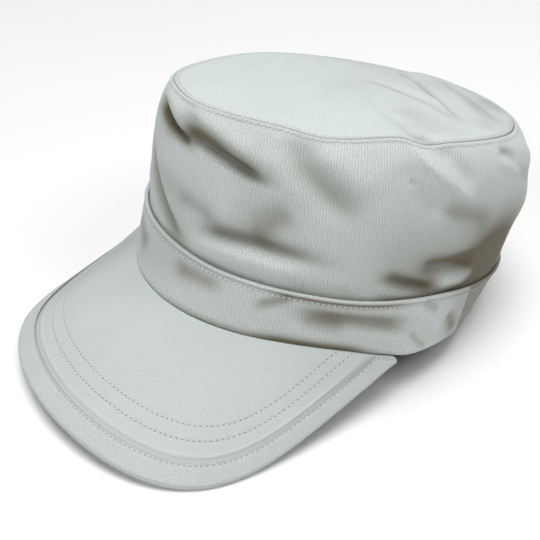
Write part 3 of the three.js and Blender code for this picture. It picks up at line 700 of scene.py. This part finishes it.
def shade_painter_group():
    """Painted shade: mixes the cloth's colour toward an olive brown, as it looks deep in its folds. Shade is
    0 in the open and 1 there.
    """
    group, given, result = new_group(
        "painted fold shade",
        [("Color", "NodeSocketColor", (0.8, 0.8, 0.8, 1)),
         ("Deep Color", "NodeSocketColor", (0.3, 0.28, 0.2, 1)),
         ("Shade", "NodeSocketFloat", 0.0), ("Tone", "NodeSocketFloat", 1.0),
         ("Cloth", "NodeSocketVector", None)],
        [("Color", "NodeSocketColor")],
    )
    patches = add_noise(group, given.outputs["Cloth"], 0.045, 3.0)
    drift = add_math(group, "MULTIPLY", add_math(group, "SUBTRACT", patches, 0.5), 0.1)
    amount = add_math(group, "ADD", given.outputs["Tone"], drift)
    scaled = group.nodes.new("ShaderNodeVectorMath")
    scaled.operation = "SCALE"
    group.links.new(given.outputs["Color"], scaled.inputs[0])
    group.links.new(amount, scaled.inputs["Scale"])
    mixed = group.nodes.new("ShaderNodeMix")
    mixed.data_type = "RGBA"
    group.links.new(given.outputs["Shade"], mixed.inputs["Factor"])
    group.links.new(scaled.outputs[0], mixed.inputs["A"])
    group.links.new(given.outputs["Deep Color"], mixed.inputs["B"])
    group.links.new(mixed.outputs["Result"], result.inputs["Color"])
    return group


TWILL = twill_group()
SHADE_PAINTER = shade_painter_group()
CLOTH_ROUGHNESS = 0.88


def place_group(tree, group, **values):
    node = tree.nodes.new("ShaderNodeGroup")
    node.node_tree = group
    for label, value in values.items():
        socket = node.inputs[label.replace("_", " ")]
        if isinstance(value, bpy.types.NodeSocket):
            tree.links.new(value, socket)
        else:
            socket.default_value = value
    return node


def cloth_material(name, color, deep, rib_pitch, slant, yarn_pitch, yarn_share, bump, contrast):
    """Woven cotton. The weave lies on the piece's UV map, which is in millimetres. Its colour is painted
    toward deep, the olive brown painted shade colour, as far as the shade attribute says.
    """
    material = bpy.data.materials.new(name)
    material.use_nodes = True
    tree = material.node_tree
    shader = tree.nodes["Principled BSDF"]
    shader.inputs["Specular IOR Level"].default_value = 0.25
    shader.inputs["Sheen Weight"].default_value = 0.12
    shader.inputs["Sheen Roughness"].default_value = 0.6
    map_node = tree.nodes.new("ShaderNodeUVMap")
    cloth_place = map_node.outputs["UV"]
    weave = place_group(tree, TWILL, Cloth=cloth_place, Rib_Pitch=rib_pitch, Slant=slant,
                        Yarn_Pitch=yarn_pitch, Yarn_Share=yarn_share, Contrast=contrast)
    # How far painted shade darkens the colour here, read from the shade attribute
    shade = tree.nodes.new("ShaderNodeAttribute")
    shade.attribute_name = "shade"
    shade_painted_color = place_group(tree, SHADE_PAINTER, Color=(*color, 1), Deep_Color=(*deep, 1), Shade=shade.outputs["Fac"],
                         Tone=weave.outputs["Tone"], Cloth=cloth_place)
    tree.links.new(shade_painted_color.outputs["Color"], shader.inputs["Base Color"])
    relief = tree.nodes.new("ShaderNodeBump")
    relief.inputs["Strength"].default_value = bump
    relief.inputs["Distance"].default_value = 0.0003
    tree.links.new(weave.outputs["Height"], relief.inputs["Height"])
    tree.links.new(relief.outputs["Normal"], shader.inputs["Normal"])
    fuzz = add_noise(tree, cloth_place, 2.2, 2.0)
    uneven = add_math(tree, "MULTIPLY", fuzz, 0.12)
    tree.links.new(add_math(tree, "ADD", uneven, CLOTH_ROUGHNESS - 0.06), shader.inputs["Roughness"])
    return material


def thread_material(name, color):
    """Sewing thread, with its twist."""
    material = bpy.data.materials.new(name)
    material.use_nodes = True
    tree = material.node_tree
    shader = tree.nodes["Principled BSDF"]
    shader.inputs["Specular IOR Level"].default_value = 0.4
    shader.inputs["Sheen Weight"].default_value = 0.1
    place = tree.nodes.new("ShaderNodeTexCoord")
    strands = add_noise(tree, place.outputs["Object"], 3500.0, 2.0)
    ramp = tree.nodes.new("ShaderNodeMapRange")
    ramp.inputs["To Min"].default_value = 0.88
    ramp.inputs["To Max"].default_value = 1.05
    tree.links.new(strands, ramp.inputs["Value"])
    scaled = tree.nodes.new("ShaderNodeVectorMath")
    scaled.operation = "SCALE"
    scaled.inputs[0].default_value = color
    tree.links.new(ramp.outputs["Result"], scaled.inputs["Scale"])
    tree.links.new(scaled.outputs[0], shader.inputs["Base Color"])
    uneven = add_math(tree, "MULTIPLY", strands, 0.2)
    tree.links.new(add_math(tree, "ADD", uneven, 0.6), shader.inputs["Roughness"])
    relief = tree.nodes.new("ShaderNodeBump")
    relief.inputs["Strength"].default_value = 0.4
    relief.inputs["Distance"].default_value = 0.0001
    tree.links.new(strands, relief.inputs["Height"])
    tree.links.new(relief.outputs["Normal"], shader.inputs["Normal"])
    return material


# The olive brown that painted shade mixes into every cloth's colour
PAINTED_SHADE_COLOR = (0.13, 0.11, 0.065)
side_twill = cloth_material("side twill", (0.635, 0.685, 0.668), PAINTED_SHADE_COLOR, 1.3, 0.05, 0.8, 0.4, 0.6, 1.0)
top_twill = cloth_material("top twill", (0.645, 0.705, 0.7), PAINTED_SHADE_COLOR, 1.0, 0.3, 0.9, 0.8, 0.45, 0.6)
band_twill = cloth_material("band twill", (0.62, 0.66, 0.642), PAINTED_SHADE_COLOR, 1.3, 0.35, 0.8, 0.4, 0.6, 1.0)
peak_twill = cloth_material("peak twill", (0.555, 0.602, 0.592), PAINTED_SHADE_COLOR, 1.1, 0.5, 1.4, 0.6, 0.25, 0.35)
binding_twill = cloth_material("binding twill", (0.56, 0.6, 0.585), PAINTED_SHADE_COLOR, 1.25, 1.0, 0.8, 0.5, 0.55, 0.8)
sweatband_cotton = cloth_material("sweatband cotton", (0.68, 0.67, 0.63), PAINTED_SHADE_COLOR, 1.1, 0.6, 1.1, 0.6, 0.4, 0.6)
sewing_thread = thread_material("sewing thread", (0.71, 0.745, 0.725))
# Dark marks that paint the shade down in the needle's holes
needle_hole_shade = thread_material("needle hole shade", (0.22, 0.21, 0.18))


# The side panel

def level_below_seam(distance):
    """The level this many millimetres of cloth below the top seam."""
    levels = np.linspace(0, 1, 401)
    lengths = []
    for angle in range(0, 360, 30):
        spots = side_point(np.full(levels.shape, float(angle)), levels)
        steps = np.linalg.norm(np.diff(spots, axis=0), axis=1)
        lengths.append(np.concatenate([np.cumsum(steps[::-1])[::-1], [0]]))
    return np.interp(distance, np.mean(lengths, axis=0)[::-1], levels[::-1])


def side_drop(level):
    """Millimetres of cloth below the top seam, near it."""
    drops = np.concatenate([np.linspace(0, 12, 60), [100]])
    levels = level_below_seam(drops)
    return np.interp(-level, -levels, drops)


def seam_relief(distance):
    """How far the cloth beside the top seam stands out: rolled into the seam, full over the seam allowance,
    and drawn in at the row of stitches."""
    out_of_seam = np.clip(distance / SEAM_ROLL, 0, 1)
    roll = SEAM_ROLL * (1 - np.sqrt(np.clip(1 - (1 - out_of_seam) ** 2, 0, 1)))
    past_row = smoothstep(distance, SEAM_ROW - 0.2, SEAM_ROW + 1.2)
    allowance = 0.28 * smoothstep(distance, 0.2, 1.0) * (1 - past_row)
    drawn_in = 0.16 * bell(distance, SEAM_ROW, 0.45)
    return allowance - roll - drawn_in


def seam_shade_paint(distance):
    """How deep the painted shade is down in the seam and beside its allowance."""
    return 0.5 * bell(distance, 0.0, 0.4) + 0.16 * bell(distance, 1.7, 0.4)


def outward_of_side(angle, level):
    along = side_point(angle + 0.5, level) - side_point(angle - 0.5, level)
    high = np.minimum(level + 0.01, 1)
    up = side_point(angle, high) - side_point(angle, high - 0.02)
    return unit(np.cross(along, up))


def sewn_side(angle, level):
    spots = side_point(angle, level)
    near_seam = level > 0.85
    if near_seam.any():
        relief = seam_relief(side_drop(level[near_seam]))
        spots[near_seam] += outward_of_side(angle[near_seam], level[near_seam]) * relief[:, None]
    return spots


def facing_down(surface, a, b, step_a, step_b):
    """0 where a surface faces up or to the side, to 1 where it faces well down."""
    out = surface_frames(surface, a, b, step_a, step_b)[2]
    return smoothstep(-out[:, 2], 0.05, 0.8)


def side_shade(angle, level):
    """Painted shade: on the undersides of folds, in the folds' hollows, at the foot of the wall, on the low
    part toward the back, a little over the lower wall and down in the top seam.
    """
    above = np.clip(level, 0.0, 0.97)
    under = facing_down(side_point, angle, above, 0.5, 0.004)
    hollows = side_folds(SIDE_SHADES, angle, above)
    foot = 0.3 * (1 - smoothstep(level, 0.0, 0.035))
    turned = (angle + 180) % 360 - 180
    around = np.abs(turned)
    strength = np.where(turned > 0, 1.0, WIDE_SHADE_RIGHT)
    strength = strength * (1 - (1 - WIDE_SHADE_BEHIND) * smoothstep(around, *WIDE_SHADE_ENDS))
    wide = np.zeros(len(angle))
    for depth, start, end, bottom, top, fall in WIDE_SHADES:
        lower = fall * (around - 104)
        wide += depth * smoothstep(around, start, end) * (1 - smoothstep(level, bottom - lower, top - lower))
    # A little painted shade over the lower wall
    low = 0.08 * (1 - smoothstep(level, 0.66, 0.88))
    seam = 0.6 * seam_shade_paint(side_drop(level))
    return np.clip(0.2 * under + hollows + foot + low + strength * wide + seam, 0, 1)


DROPS_BY_SEAM = [6.5, 5.2, 4.2, 3.4, 2.9, 2.5, 2.2, 1.9, 1.6, 1.3, 1.0, 0.75, 0.5, 0.3, 0.15, 0.0]
side_levels = np.concatenate([
    [-SIDE_TUCK / WALL_HEIGHT, -0.05, -0.02], np.linspace(0, 0.06, 6), np.linspace(0.06, 0.9, 76)[1:],
    level_below_seam(np.array(DROPS_BY_SEAM)),
])
side_levels = np.unique(np.round(side_levels, 6))
side_angles = np.concatenate([
    np.linspace(-180, -44, 91), np.linspace(-44, 140, 246)[1:], np.linspace(140, 180, 28)[1:],
])
side_panel = cloth("side_panel_cloth", side_angles, side_levels, sewn_side, side_shade)
thicken(side_panel, CROWN_CLOTH)
side_panel.data.materials.append(side_twill)
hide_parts("side_panel")


# The top panel

def sewn_top(angle, share):
    spots = top_point(angle, share)
    reach = np.linalg.norm(seam_plan(angle), axis=1)
    from_seam = (1 - share) * reach
    rolled = 0.25 * bell(from_seam, 0.9, 0.5)
    spots[:, 2] += seam_relief(from_seam) + rolled
    return spots


# Painted shade on the top panel: in its sunk folds and hollows, darker toward the rear, and down in the seam
def top_shade(angle, share):
    plan = seam_plan(angle) * share[:, None]
    sunk = 0.1 * smoothstep(-top_folds(TOP_FOLDS, plan), 0.3, 2.2)
    hollows = top_folds(TOP_SHADES, plan)
    far = 0.2 * smoothstep(reach_share(plan), 0.05, 1.0)
    seam = seam_shade_paint((1 - share) * np.linalg.norm(seam_plan(angle), axis=1))
    return np.clip(sunk + hollows + far + seam, 0, 1)


top_shares = np.concatenate([
    np.linspace(0, 0.9, 46),
    [0.93, 0.945, 0.955, 0.962, 0.968, 0.973, 0.978, 0.982, 0.986, 0.99, 0.993, 0.996, 0.998, 1.0],
])
top_panel = cloth("top_panel_cloth", np.linspace(-180, 180, 301), top_shares[::-1], sewn_top, top_shade)
thicken(top_panel, CROWN_CLOTH)
top_panel.data.materials.append(top_twill)
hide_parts("top_panel")


# The band, the back band and the sweatband: a section that goes up the outer face, over the rolled upper
# edge, down the inner face and round the hem

def rolled_section(height, outer, inner, rows):
    """Heights and depths round a band's section. Rows are the heights of the outer face's points."""
    middle = (outer + inner) / 2
    radius = (inner - outer) / 2
    bends = np.radians(np.linspace(-90, 90, 9))[1:-1]
    section = [(row, outer) for row in rows if radius <= row <= height - radius]
    section += [(height - radius + radius * math.cos(bend), middle + radius * math.sin(bend))
                for bend in bends]
    section += [(row, inner) for row in np.linspace(height - radius, radius, 5)]
    section += [(radius - radius * math.cos(bend), middle - radius * math.sin(bend)) for bend in bends]
    section.append(section[0])
    return np.array(section)


def upper_edge_relief(below_edge):
    """The folded upper edge is thick, and the cloth is drawn in at the row of stitches below it."""
    lip = 0.4 * (1 - smoothstep(below_edge, 0.9, 1.6))
    pressed = 0.14 * bell(below_edge, BAND_ROW, 0.5)
    return lip - pressed


def band_piece(name, angles, height, outer, inner):
    """A strip of the band, with its folded upper edge and rounded ends."""
    rows = np.concatenate([np.linspace(0, height - 6, 26), height - np.array(
        [5.2, 4.6, 4.1, 3.8, 3.6, 3.4, 3.2, 3.0, 2.7, 2.3, 1.9, 1.6, 1.4, 1.2, 1.0, 0.9])])
    section = rolled_section(height, outer, inner, rows)
    middle = (outer + inner) / 2

    def place(angle, station):
        spot = np.rint(station).astype(int)
        rise, depth = section[spot].T
        outer_side = np.clip((middle - depth) / (middle - outer), 0, 1)
        depth = depth - upper_edge_relief(height - rise) * outer_side
        from_end = np.minimum(angle - angles[0], angles[-1] - angle) * BAND_DEGREE
        radius = (inner - outer) / 2
        slim = np.sqrt(np.clip(1 - (1 - np.clip(from_end / radius, 0, 1)) ** 2, 0.06, 1))
        depth = middle + (depth - middle) * slim
        return band_point(angle, rise / height, depth)

    # Painted shade on the band: in its folds, just under the rolled upper edge, and darker toward the back
    # and on the back band
    def shade(angle, station):
        rise, depth = section[np.rint(station).astype(int)].T
        share = rise / height
        dents = band_folds(BAND_SHADES, angle, share)
        edge = 0.35 * bell(height - rise, 1.9, 0.35) * (depth < middle)
        around = np.abs((angle + 180) % 360 - 180)
        behind = 0.3 * smoothstep(around, 90, 101) + 0.4 * smoothstep(around, 103.5, 105)
        behind = behind * (1 - 0.55 * smoothstep(around, 120, 150))
        return np.clip(dents + edge + behind, 0, 1)

    return cloth(name, angles, np.arange(len(section)), place, shade, whole_section=True, capped=True)


def ends_close_up(start, end, columns):
    """Angles along a strip, closer together at its two ends."""
    margin = np.array([0, 0.05, 0.12, 0.22, 0.35, 0.55])
    return np.concatenate([start + margin, np.linspace(start, end, columns)[1:-1], end - margin[::-1]])


BAND_GAP_ANGLE = math.degrees(BAND_END_GAP / RIM_HALF_WIDTH)
band = band_piece("band_cloth", ends_close_up(-BAND_END_ANGLE, BAND_END_ANGLE, 260), BAND_HEIGHT, 0,
                  BAND_CLOTH)
band.data.materials.append(band_twill)
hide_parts("band")

back_band = band_piece(
    "back_band_cloth",
    ends_close_up(BAND_END_ANGLE + BAND_GAP_ANGLE, 360 - BAND_END_ANGLE - BAND_GAP_ANGLE, 190),
    BAND_HEIGHT, BAND_CLOTH - BACK_BAND_CLOTH, BAND_CLOTH,
)
back_band.data.materials.append(band_twill)
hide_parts("back_band")


def sweatband_place(section):
    def place(angle, station):
        rise, depth = section[np.rint(station).astype(int)].T
        return band_point(angle, (rise - SWEATBAND_SHOWS) / BAND_HEIGHT, depth)

    return place


SWEATBAND_DEPTH = BAND_CLOTH + 2 * LAYER_GAP + CROWN_CLOTH
sweat_section = rolled_section(SWEATBAND_HEIGHT, SWEATBAND_DEPTH, SWEATBAND_DEPTH + SWEATBAND_CLOTH,
                               np.linspace(0, SWEATBAND_HEIGHT, 14))
sweatband = cloth("sweatband_cloth", np.linspace(-180, 180, 241), np.arange(len(sweat_section)),
                  sweatband_place(sweat_section), whole_section=True)
sweatband.data.materials.append(sweatband_cotton)
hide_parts("sweatband")


# The peak: a section that goes out along its upper face and back along its lower face

def peak_relief(from_edge):
    """Sewn rows draw the cloth in, and the board's cloth lies a little proud beside the binding."""
    rows = sum(0.2 * bell(from_edge, row, 0.55) for row in PEAK_ROWS)
    ridge = 0.3 * bell(from_edge, PEAK_RIDGE, 0.9)
    beside = 0.12 * smoothstep(from_edge, 8, 9) * (1 - smoothstep(from_edge, 10.5, 12.5))
    return ridge - rows - beside


def closing(position):
    """Positions along the peak, closer together toward its two ends."""
    return 1.25 * position - 0.25 * position ** 3


peak_positions = closing(np.linspace(-1, 1, 281))
FROM_EDGE = np.array(
    [76, 72, 68, 64, 60, 56, 52, 48, 44, 40, 37, 34, 31, 29.5, 28.5, 28, 27.6, 27.3, 27, 26.7, 26.4, 26, 25.5,
     24, 22.5, 21.5, 21, 20.6, 20.3, 20, 19.7, 19.4, 19, 18.5, 17, 15.5, 14.6, 14, 13.5, 13, 12.6, 12.2, 11.7,
     11.2, 10.6, 10, 9, 7, 4.5, 2, 0.7, 0], float)


def peak_place(position, station):
    """Stations: 0 is the root's upper corner, then the upper face out to the edge, then the lower face
    back."""
    count = len(FROM_EDGE)
    spot = np.rint(station).astype(int) % (2 * count + 2)
    length = peak_line_length(position)
    fullness = peak_fullness(length)
    upper = spot <= count
    index = np.where(upper, spot - 1, 2 * count - spot)
    from_edge = FROM_EDGE[np.clip(index, 0, count - 1)]
    share = np.clip(1 - from_edge / length, 0, 1)
    normal = peak_normal(position, share, length)
    relief = peak_relief(from_edge) * (from_edge < length) * fullness
    height = np.where(upper, relief, -PEAK_THICKNESS + 0.5 * relief)
    spots = peak_point(position, share) + normal * height[:, None]
    root = band_point(position * PEAK_END_ANGLE, 0.0, PEAK_TUCK_DROP * (1 - fullness) + PEAK_TUCK * fullness)
    root[:, 2] -= PEAK_TUCK_DROP
    start = peak_point(position, np.zeros(len(position)))
    start_normal = peak_normal(position, np.zeros(len(position)), length)
    beside = root - start_normal * PEAK_THICKNESS
    under = root - np.array([0, 0, PEAK_THICKNESS])
    weight = (fullness ** 3)[:, None]
    spots = np.where((spot == 0)[:, None], root, spots)
    return np.where((spot == 2 * count + 1)[:, None], beside * (1 - weight) + under * weight, spots)


def peak_shade(position, station):
    """Painted shade in the valley beside the binding, on the bend on the wearer's right and on the underside.
    """
    count = len(FROM_EDGE)
    spot = np.rint(station).astype(int)
    from_edge = FROM_EDGE[np.clip(spot - 1, 0, count - 1)]
    upper = (spot > 0) & (spot <= count)
    valley = 0.1 * smoothstep(from_edge, 8, 9) * (1 - smoothstep(from_edge, 9.5, 11))
    return np.where(upper, valley + 0.22 * bell(position, -0.48, 0.1), 0.15)


peak = cloth("peak_cloth", peak_positions, np.arange(2 * len(FROM_EDGE) + 3), peak_place, peak_shade,
             whole_section=True, capped=True)
peak.data.materials.append(peak_twill)
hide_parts("peak")


# The binding: a strip folded over the peak's edge

def binding_reach(length):
    return np.minimum(BINDING_WIDTH, length - LAYER_GAP - BINDING_GAP)


def leg_height(back, width, side):
    """The height of the binding's outer face over the peak. With side 1 its stitches draw it down."""
    from_edge = width - back
    sewn = 0.3 * bell(from_edge, BINDING_ROW, 0.5)
    return EDGE_COVER - 0.15 * smoothstep(back, 3, 9) - sewn * side


# Each station of the section: where it is, and how far along
UPPER_BACKS = [1, 0.975, 0.95, 0.925, 0.9, 0.88, 0.86, 0.84, 0.82, 0.79, 0.75, 0.68, 0.6, 0.5, 0.4, 0.3, 0.2,
               0.1]
BINDING_SECTION = (
    [("outer_up", back) for back in UPPER_BACKS]
    + [("outer_turn", bend) for bend in np.linspace(90, -90, 13)]
    + [("outer_low", back) for back in UPPER_BACKS[::-1]]
    + [("end_low", share) for share in (0.2, 0.5, 0.8)]
    + [("inner_low", back) for back in (1, 0.6, 0.3)]
    + [("inner_turn", bend) for bend in np.linspace(-90, 90, 7)]
    + [("inner_up", back) for back in (0.3, 0.6, 1)]
    + [("end_up", share) for share in (0.8, 0.5, 0.2)]
)


def binding_place(position, station):
    length = peak_line_length(position)
    width = binding_reach(length)
    edge = peak_point(position, np.ones(len(position)))
    normal = peak_normal(position, np.ones(len(position)), length)
    outward = unit(edge - peak_point(position, 1 - 1 / length))
    outward = unit(outward - normal * (outward * normal).sum(axis=1)[:, None])

    def at(back, height):
        share = 1 - back / length
        return peak_point(position, share) + peak_normal(position, share, length) * height[:, None]

    def turn(clearance, bend):
        radius = PEAK_THICKNESS / 2 + clearance
        out = clearance + (radius - clearance) * math.cos(bend) * 0.6
        rise = radius * math.sin(bend) - PEAK_THICKNESS / 2
        return edge + outward * (out * math.cos(bend)) + normal * rise

    spots = np.zeros((len(position), 3))
    which = np.rint(station).astype(int) % len(BINDING_SECTION)
    for index, (kind, value) in enumerate(BINDING_SECTION):
        here = which == index
        if not here.any():
            continue
        if kind.endswith("turn"):
            made = turn(EDGE_COVER if kind.startswith("outer") else BINDING_GAP, math.radians(value))
        elif kind.startswith("end"):
            high = leg_height(width, width, 0)
            middle = (high + BINDING_GAP) / 2
            half = (high - BINDING_GAP) / 2
            bend = math.pi * (value - 0.5)
            low = -1 if kind == "end_low" else 1
            height = middle - half * math.sin(bend)
            back = width + 0.5 * half * math.cos(bend)
            made = at(back, height if low > 0 else -PEAK_THICKNESS - height)
        else:
            back = width * value
            if kind == "outer_up":
                height = leg_height(back, width, 1)
            elif kind == "outer_low":
                height = -PEAK_THICKNESS - leg_height(back, width, 1)
            else:
                inner = BINDING_GAP if kind == "inner_up" else -PEAK_THICKNESS - BINDING_GAP
                height = np.full(len(back), inner)
            made = at(back, height)
        spots[here] = made[here]
    return spots


# Painted shadow along the binding's upper inner edge, where it lies on the peak
def binding_shade(position, station):
    which = np.rint(station).astype(int) % len(BINDING_SECTION)
    ends = np.array([0.5 if kind == "end_up" else 0.0 for kind, _ in BINDING_SECTION])
    return ends[which]


binding = cloth("peak_binding_cloth", closing(np.linspace(-1, 1, 361)), np.arange(len(BINDING_SECTION) + 1),
                binding_place, binding_shade, whole_section=True, capped=True)
binding.data.materials.append(binding_twill)
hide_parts("peak_binding")


# Stitching

turn_angles = np.linspace(-180, 180, 721)
side_row_level = level_below_seam(SEAM_ROW)
side_row = stitch_row("side_seam_stitches", sewn_side, turn_angles, side_row_level, 0.5, 0.002, SEAM_HOLE)

top_row_share = 1 - SEAM_ROW / np.linalg.norm(seam_plan(turn_angles), axis=1)
top_row = stitch_row("top_seam_stitches", sewn_top, turn_angles, top_row_share, 0.5, -0.004, SEAM_HOLE)


def band_face(outer):
    def place(angle, share):
        return band_point(angle, share, outer - upper_edge_relief(BAND_HEIGHT * (1 - share)))

    return place


band_row_share = 1 - BAND_ROW / BAND_HEIGHT
strip = np.linspace(-BAND_END_ANGLE + 0.8, BAND_END_ANGLE - 0.8, 480)
band_row = stitch_row("band_stitches", band_face(0), strip, band_row_share, 0.5, 0.01, BAND_HOLE)
back_strip = np.linspace(BAND_END_ANGLE + 1.2, 360 - BAND_END_ANGLE - 1.2, 360)
back_row = stitch_row("back_band_stitches", band_face(BAND_CLOTH - BACK_BAND_CLOTH), back_strip,
                      band_row_share, 0.5, 0.01, BAND_HOLE)

line_positions = closing(np.linspace(-1, 1, 801))
line_lengths = peak_line_length(line_positions)


def peak_face(position, from_edge):
    length = peak_line_length(position)
    share = np.clip(1 - from_edge / length, 0, 1)
    relief = peak_relief(from_edge)
    return peak_point(position, share) + peak_normal(position, share, length) * relief[:, None]


for number, distance in enumerate(PEAK_ROWS, 1):
    shown = line_positions[line_lengths > distance + 0.6]
    row = stitch_row(f"peak_stitches_{number}", peak_face, shown, float(distance), 0.002, 0.3, PEAK_HOLE)


def binding_face(position, from_inner_edge):
    length = peak_line_length(position)
    width = binding_reach(length)
    back = width - from_inner_edge
    share = 1 - back / length
    height = leg_height(back, width, 1)
    return peak_point(position, share) + peak_normal(position, share, length) * height[:, None]


long_enough = line_positions[line_lengths > 5]
binding_row = stitch_row("binding_stitches", binding_face, long_enough, float(BINDING_ROW), 0.002, -0.3,
                         BINDING_HOLE)


# Floor, light and camera

def floor_material():
    material = bpy.data.materials.new("floor")
    material.use_nodes = True
    tree = material.node_tree
    shader = tree.nodes["Principled BSDF"]
    place = tree.nodes.new("ShaderNodeTexCoord")
    grain = add_noise(tree, place.outputs["Object"], 6.0, 3.0)
    ramp = tree.nodes.new("ShaderNodeMapRange")
    ramp.inputs["To Min"].default_value = 0.94
    ramp.inputs["To Max"].default_value = 0.96
    tree.links.new(grain, ramp.inputs["Value"])
    tree.links.new(ramp.outputs["Result"], shader.inputs["Base Color"])
    shader.inputs["Roughness"].default_value = 0.9
    shader.inputs["Specular IOR Level"].default_value = 0.1
    return material


floor_form = bmesh.new()
bmesh.ops.create_grid(floor_form, x_segments=2, y_segments=2, size=6)
floor_mesh = bpy.data.meshes.new("floor")
floor_form.to_mesh(floor_mesh)
floor_form.free()
floor = bpy.data.objects.new("floor", floor_mesh)
bpy.context.scene.collection.objects.link(floor)
floor.data.materials.append(floor_material())


def area_light(name, spot, target, size, power):
    data = bpy.data.lights.new(name, "AREA")
    data.shape = "DISK"
    data.size = size
    data.energy = power
    light = bpy.data.objects.new(name, data)
    light.location = spot
    light.rotation_euler = (Vector(target) - Vector(spot)).to_track_quat("-Z", "Y").to_euler()
    bpy.context.scene.collection.objects.link(light)


middle = (0.0, 0.02, 0.07)
area_light("overhead softbox", (0.0, 0.05, 3.0), middle, 2.2, 72)
area_light("side softbox", (0.75, 0.3, 1.1), middle, 0.6, 4)
area_light("front fill", (0.05, -1.1, 0.9), middle, 0.6, 4.4)
area_light("rear fill", (-0.2, 1.1, 0.9), middle, 0.6, 0.9)

world = bpy.data.worlds.new("studio")
world.use_nodes = True
world.node_tree.nodes["Background"].inputs["Color"].default_value = (1.0, 1.0, 1.0, 1)
world.node_tree.nodes["Background"].inputs["Strength"].default_value = 0.06
bpy.context.scene.world = world

camera_data = bpy.data.cameras.new("photo view")
camera_data.sensor_width = 36
camera_data.lens = 53.2705
camera_data.clip_start = 0.01
camera = bpy.data.objects.new("photo view", camera_data)
right = Vector((0.62680, 0.77895, 0.01904))
up = Vector((-0.48072, 0.36736, 0.79621))
back = right.cross(up)
view = Matrix((right, up, back)).transposed().to_4x4()
view.translation = (0.267971, -0.229490, 0.291725)
camera.matrix_world = view
bpy.context.scene.collection.objects.link(camera)
bpy.context.scene.camera = camera
bpy.context.scene.view_settings.view_transform = "Standard"
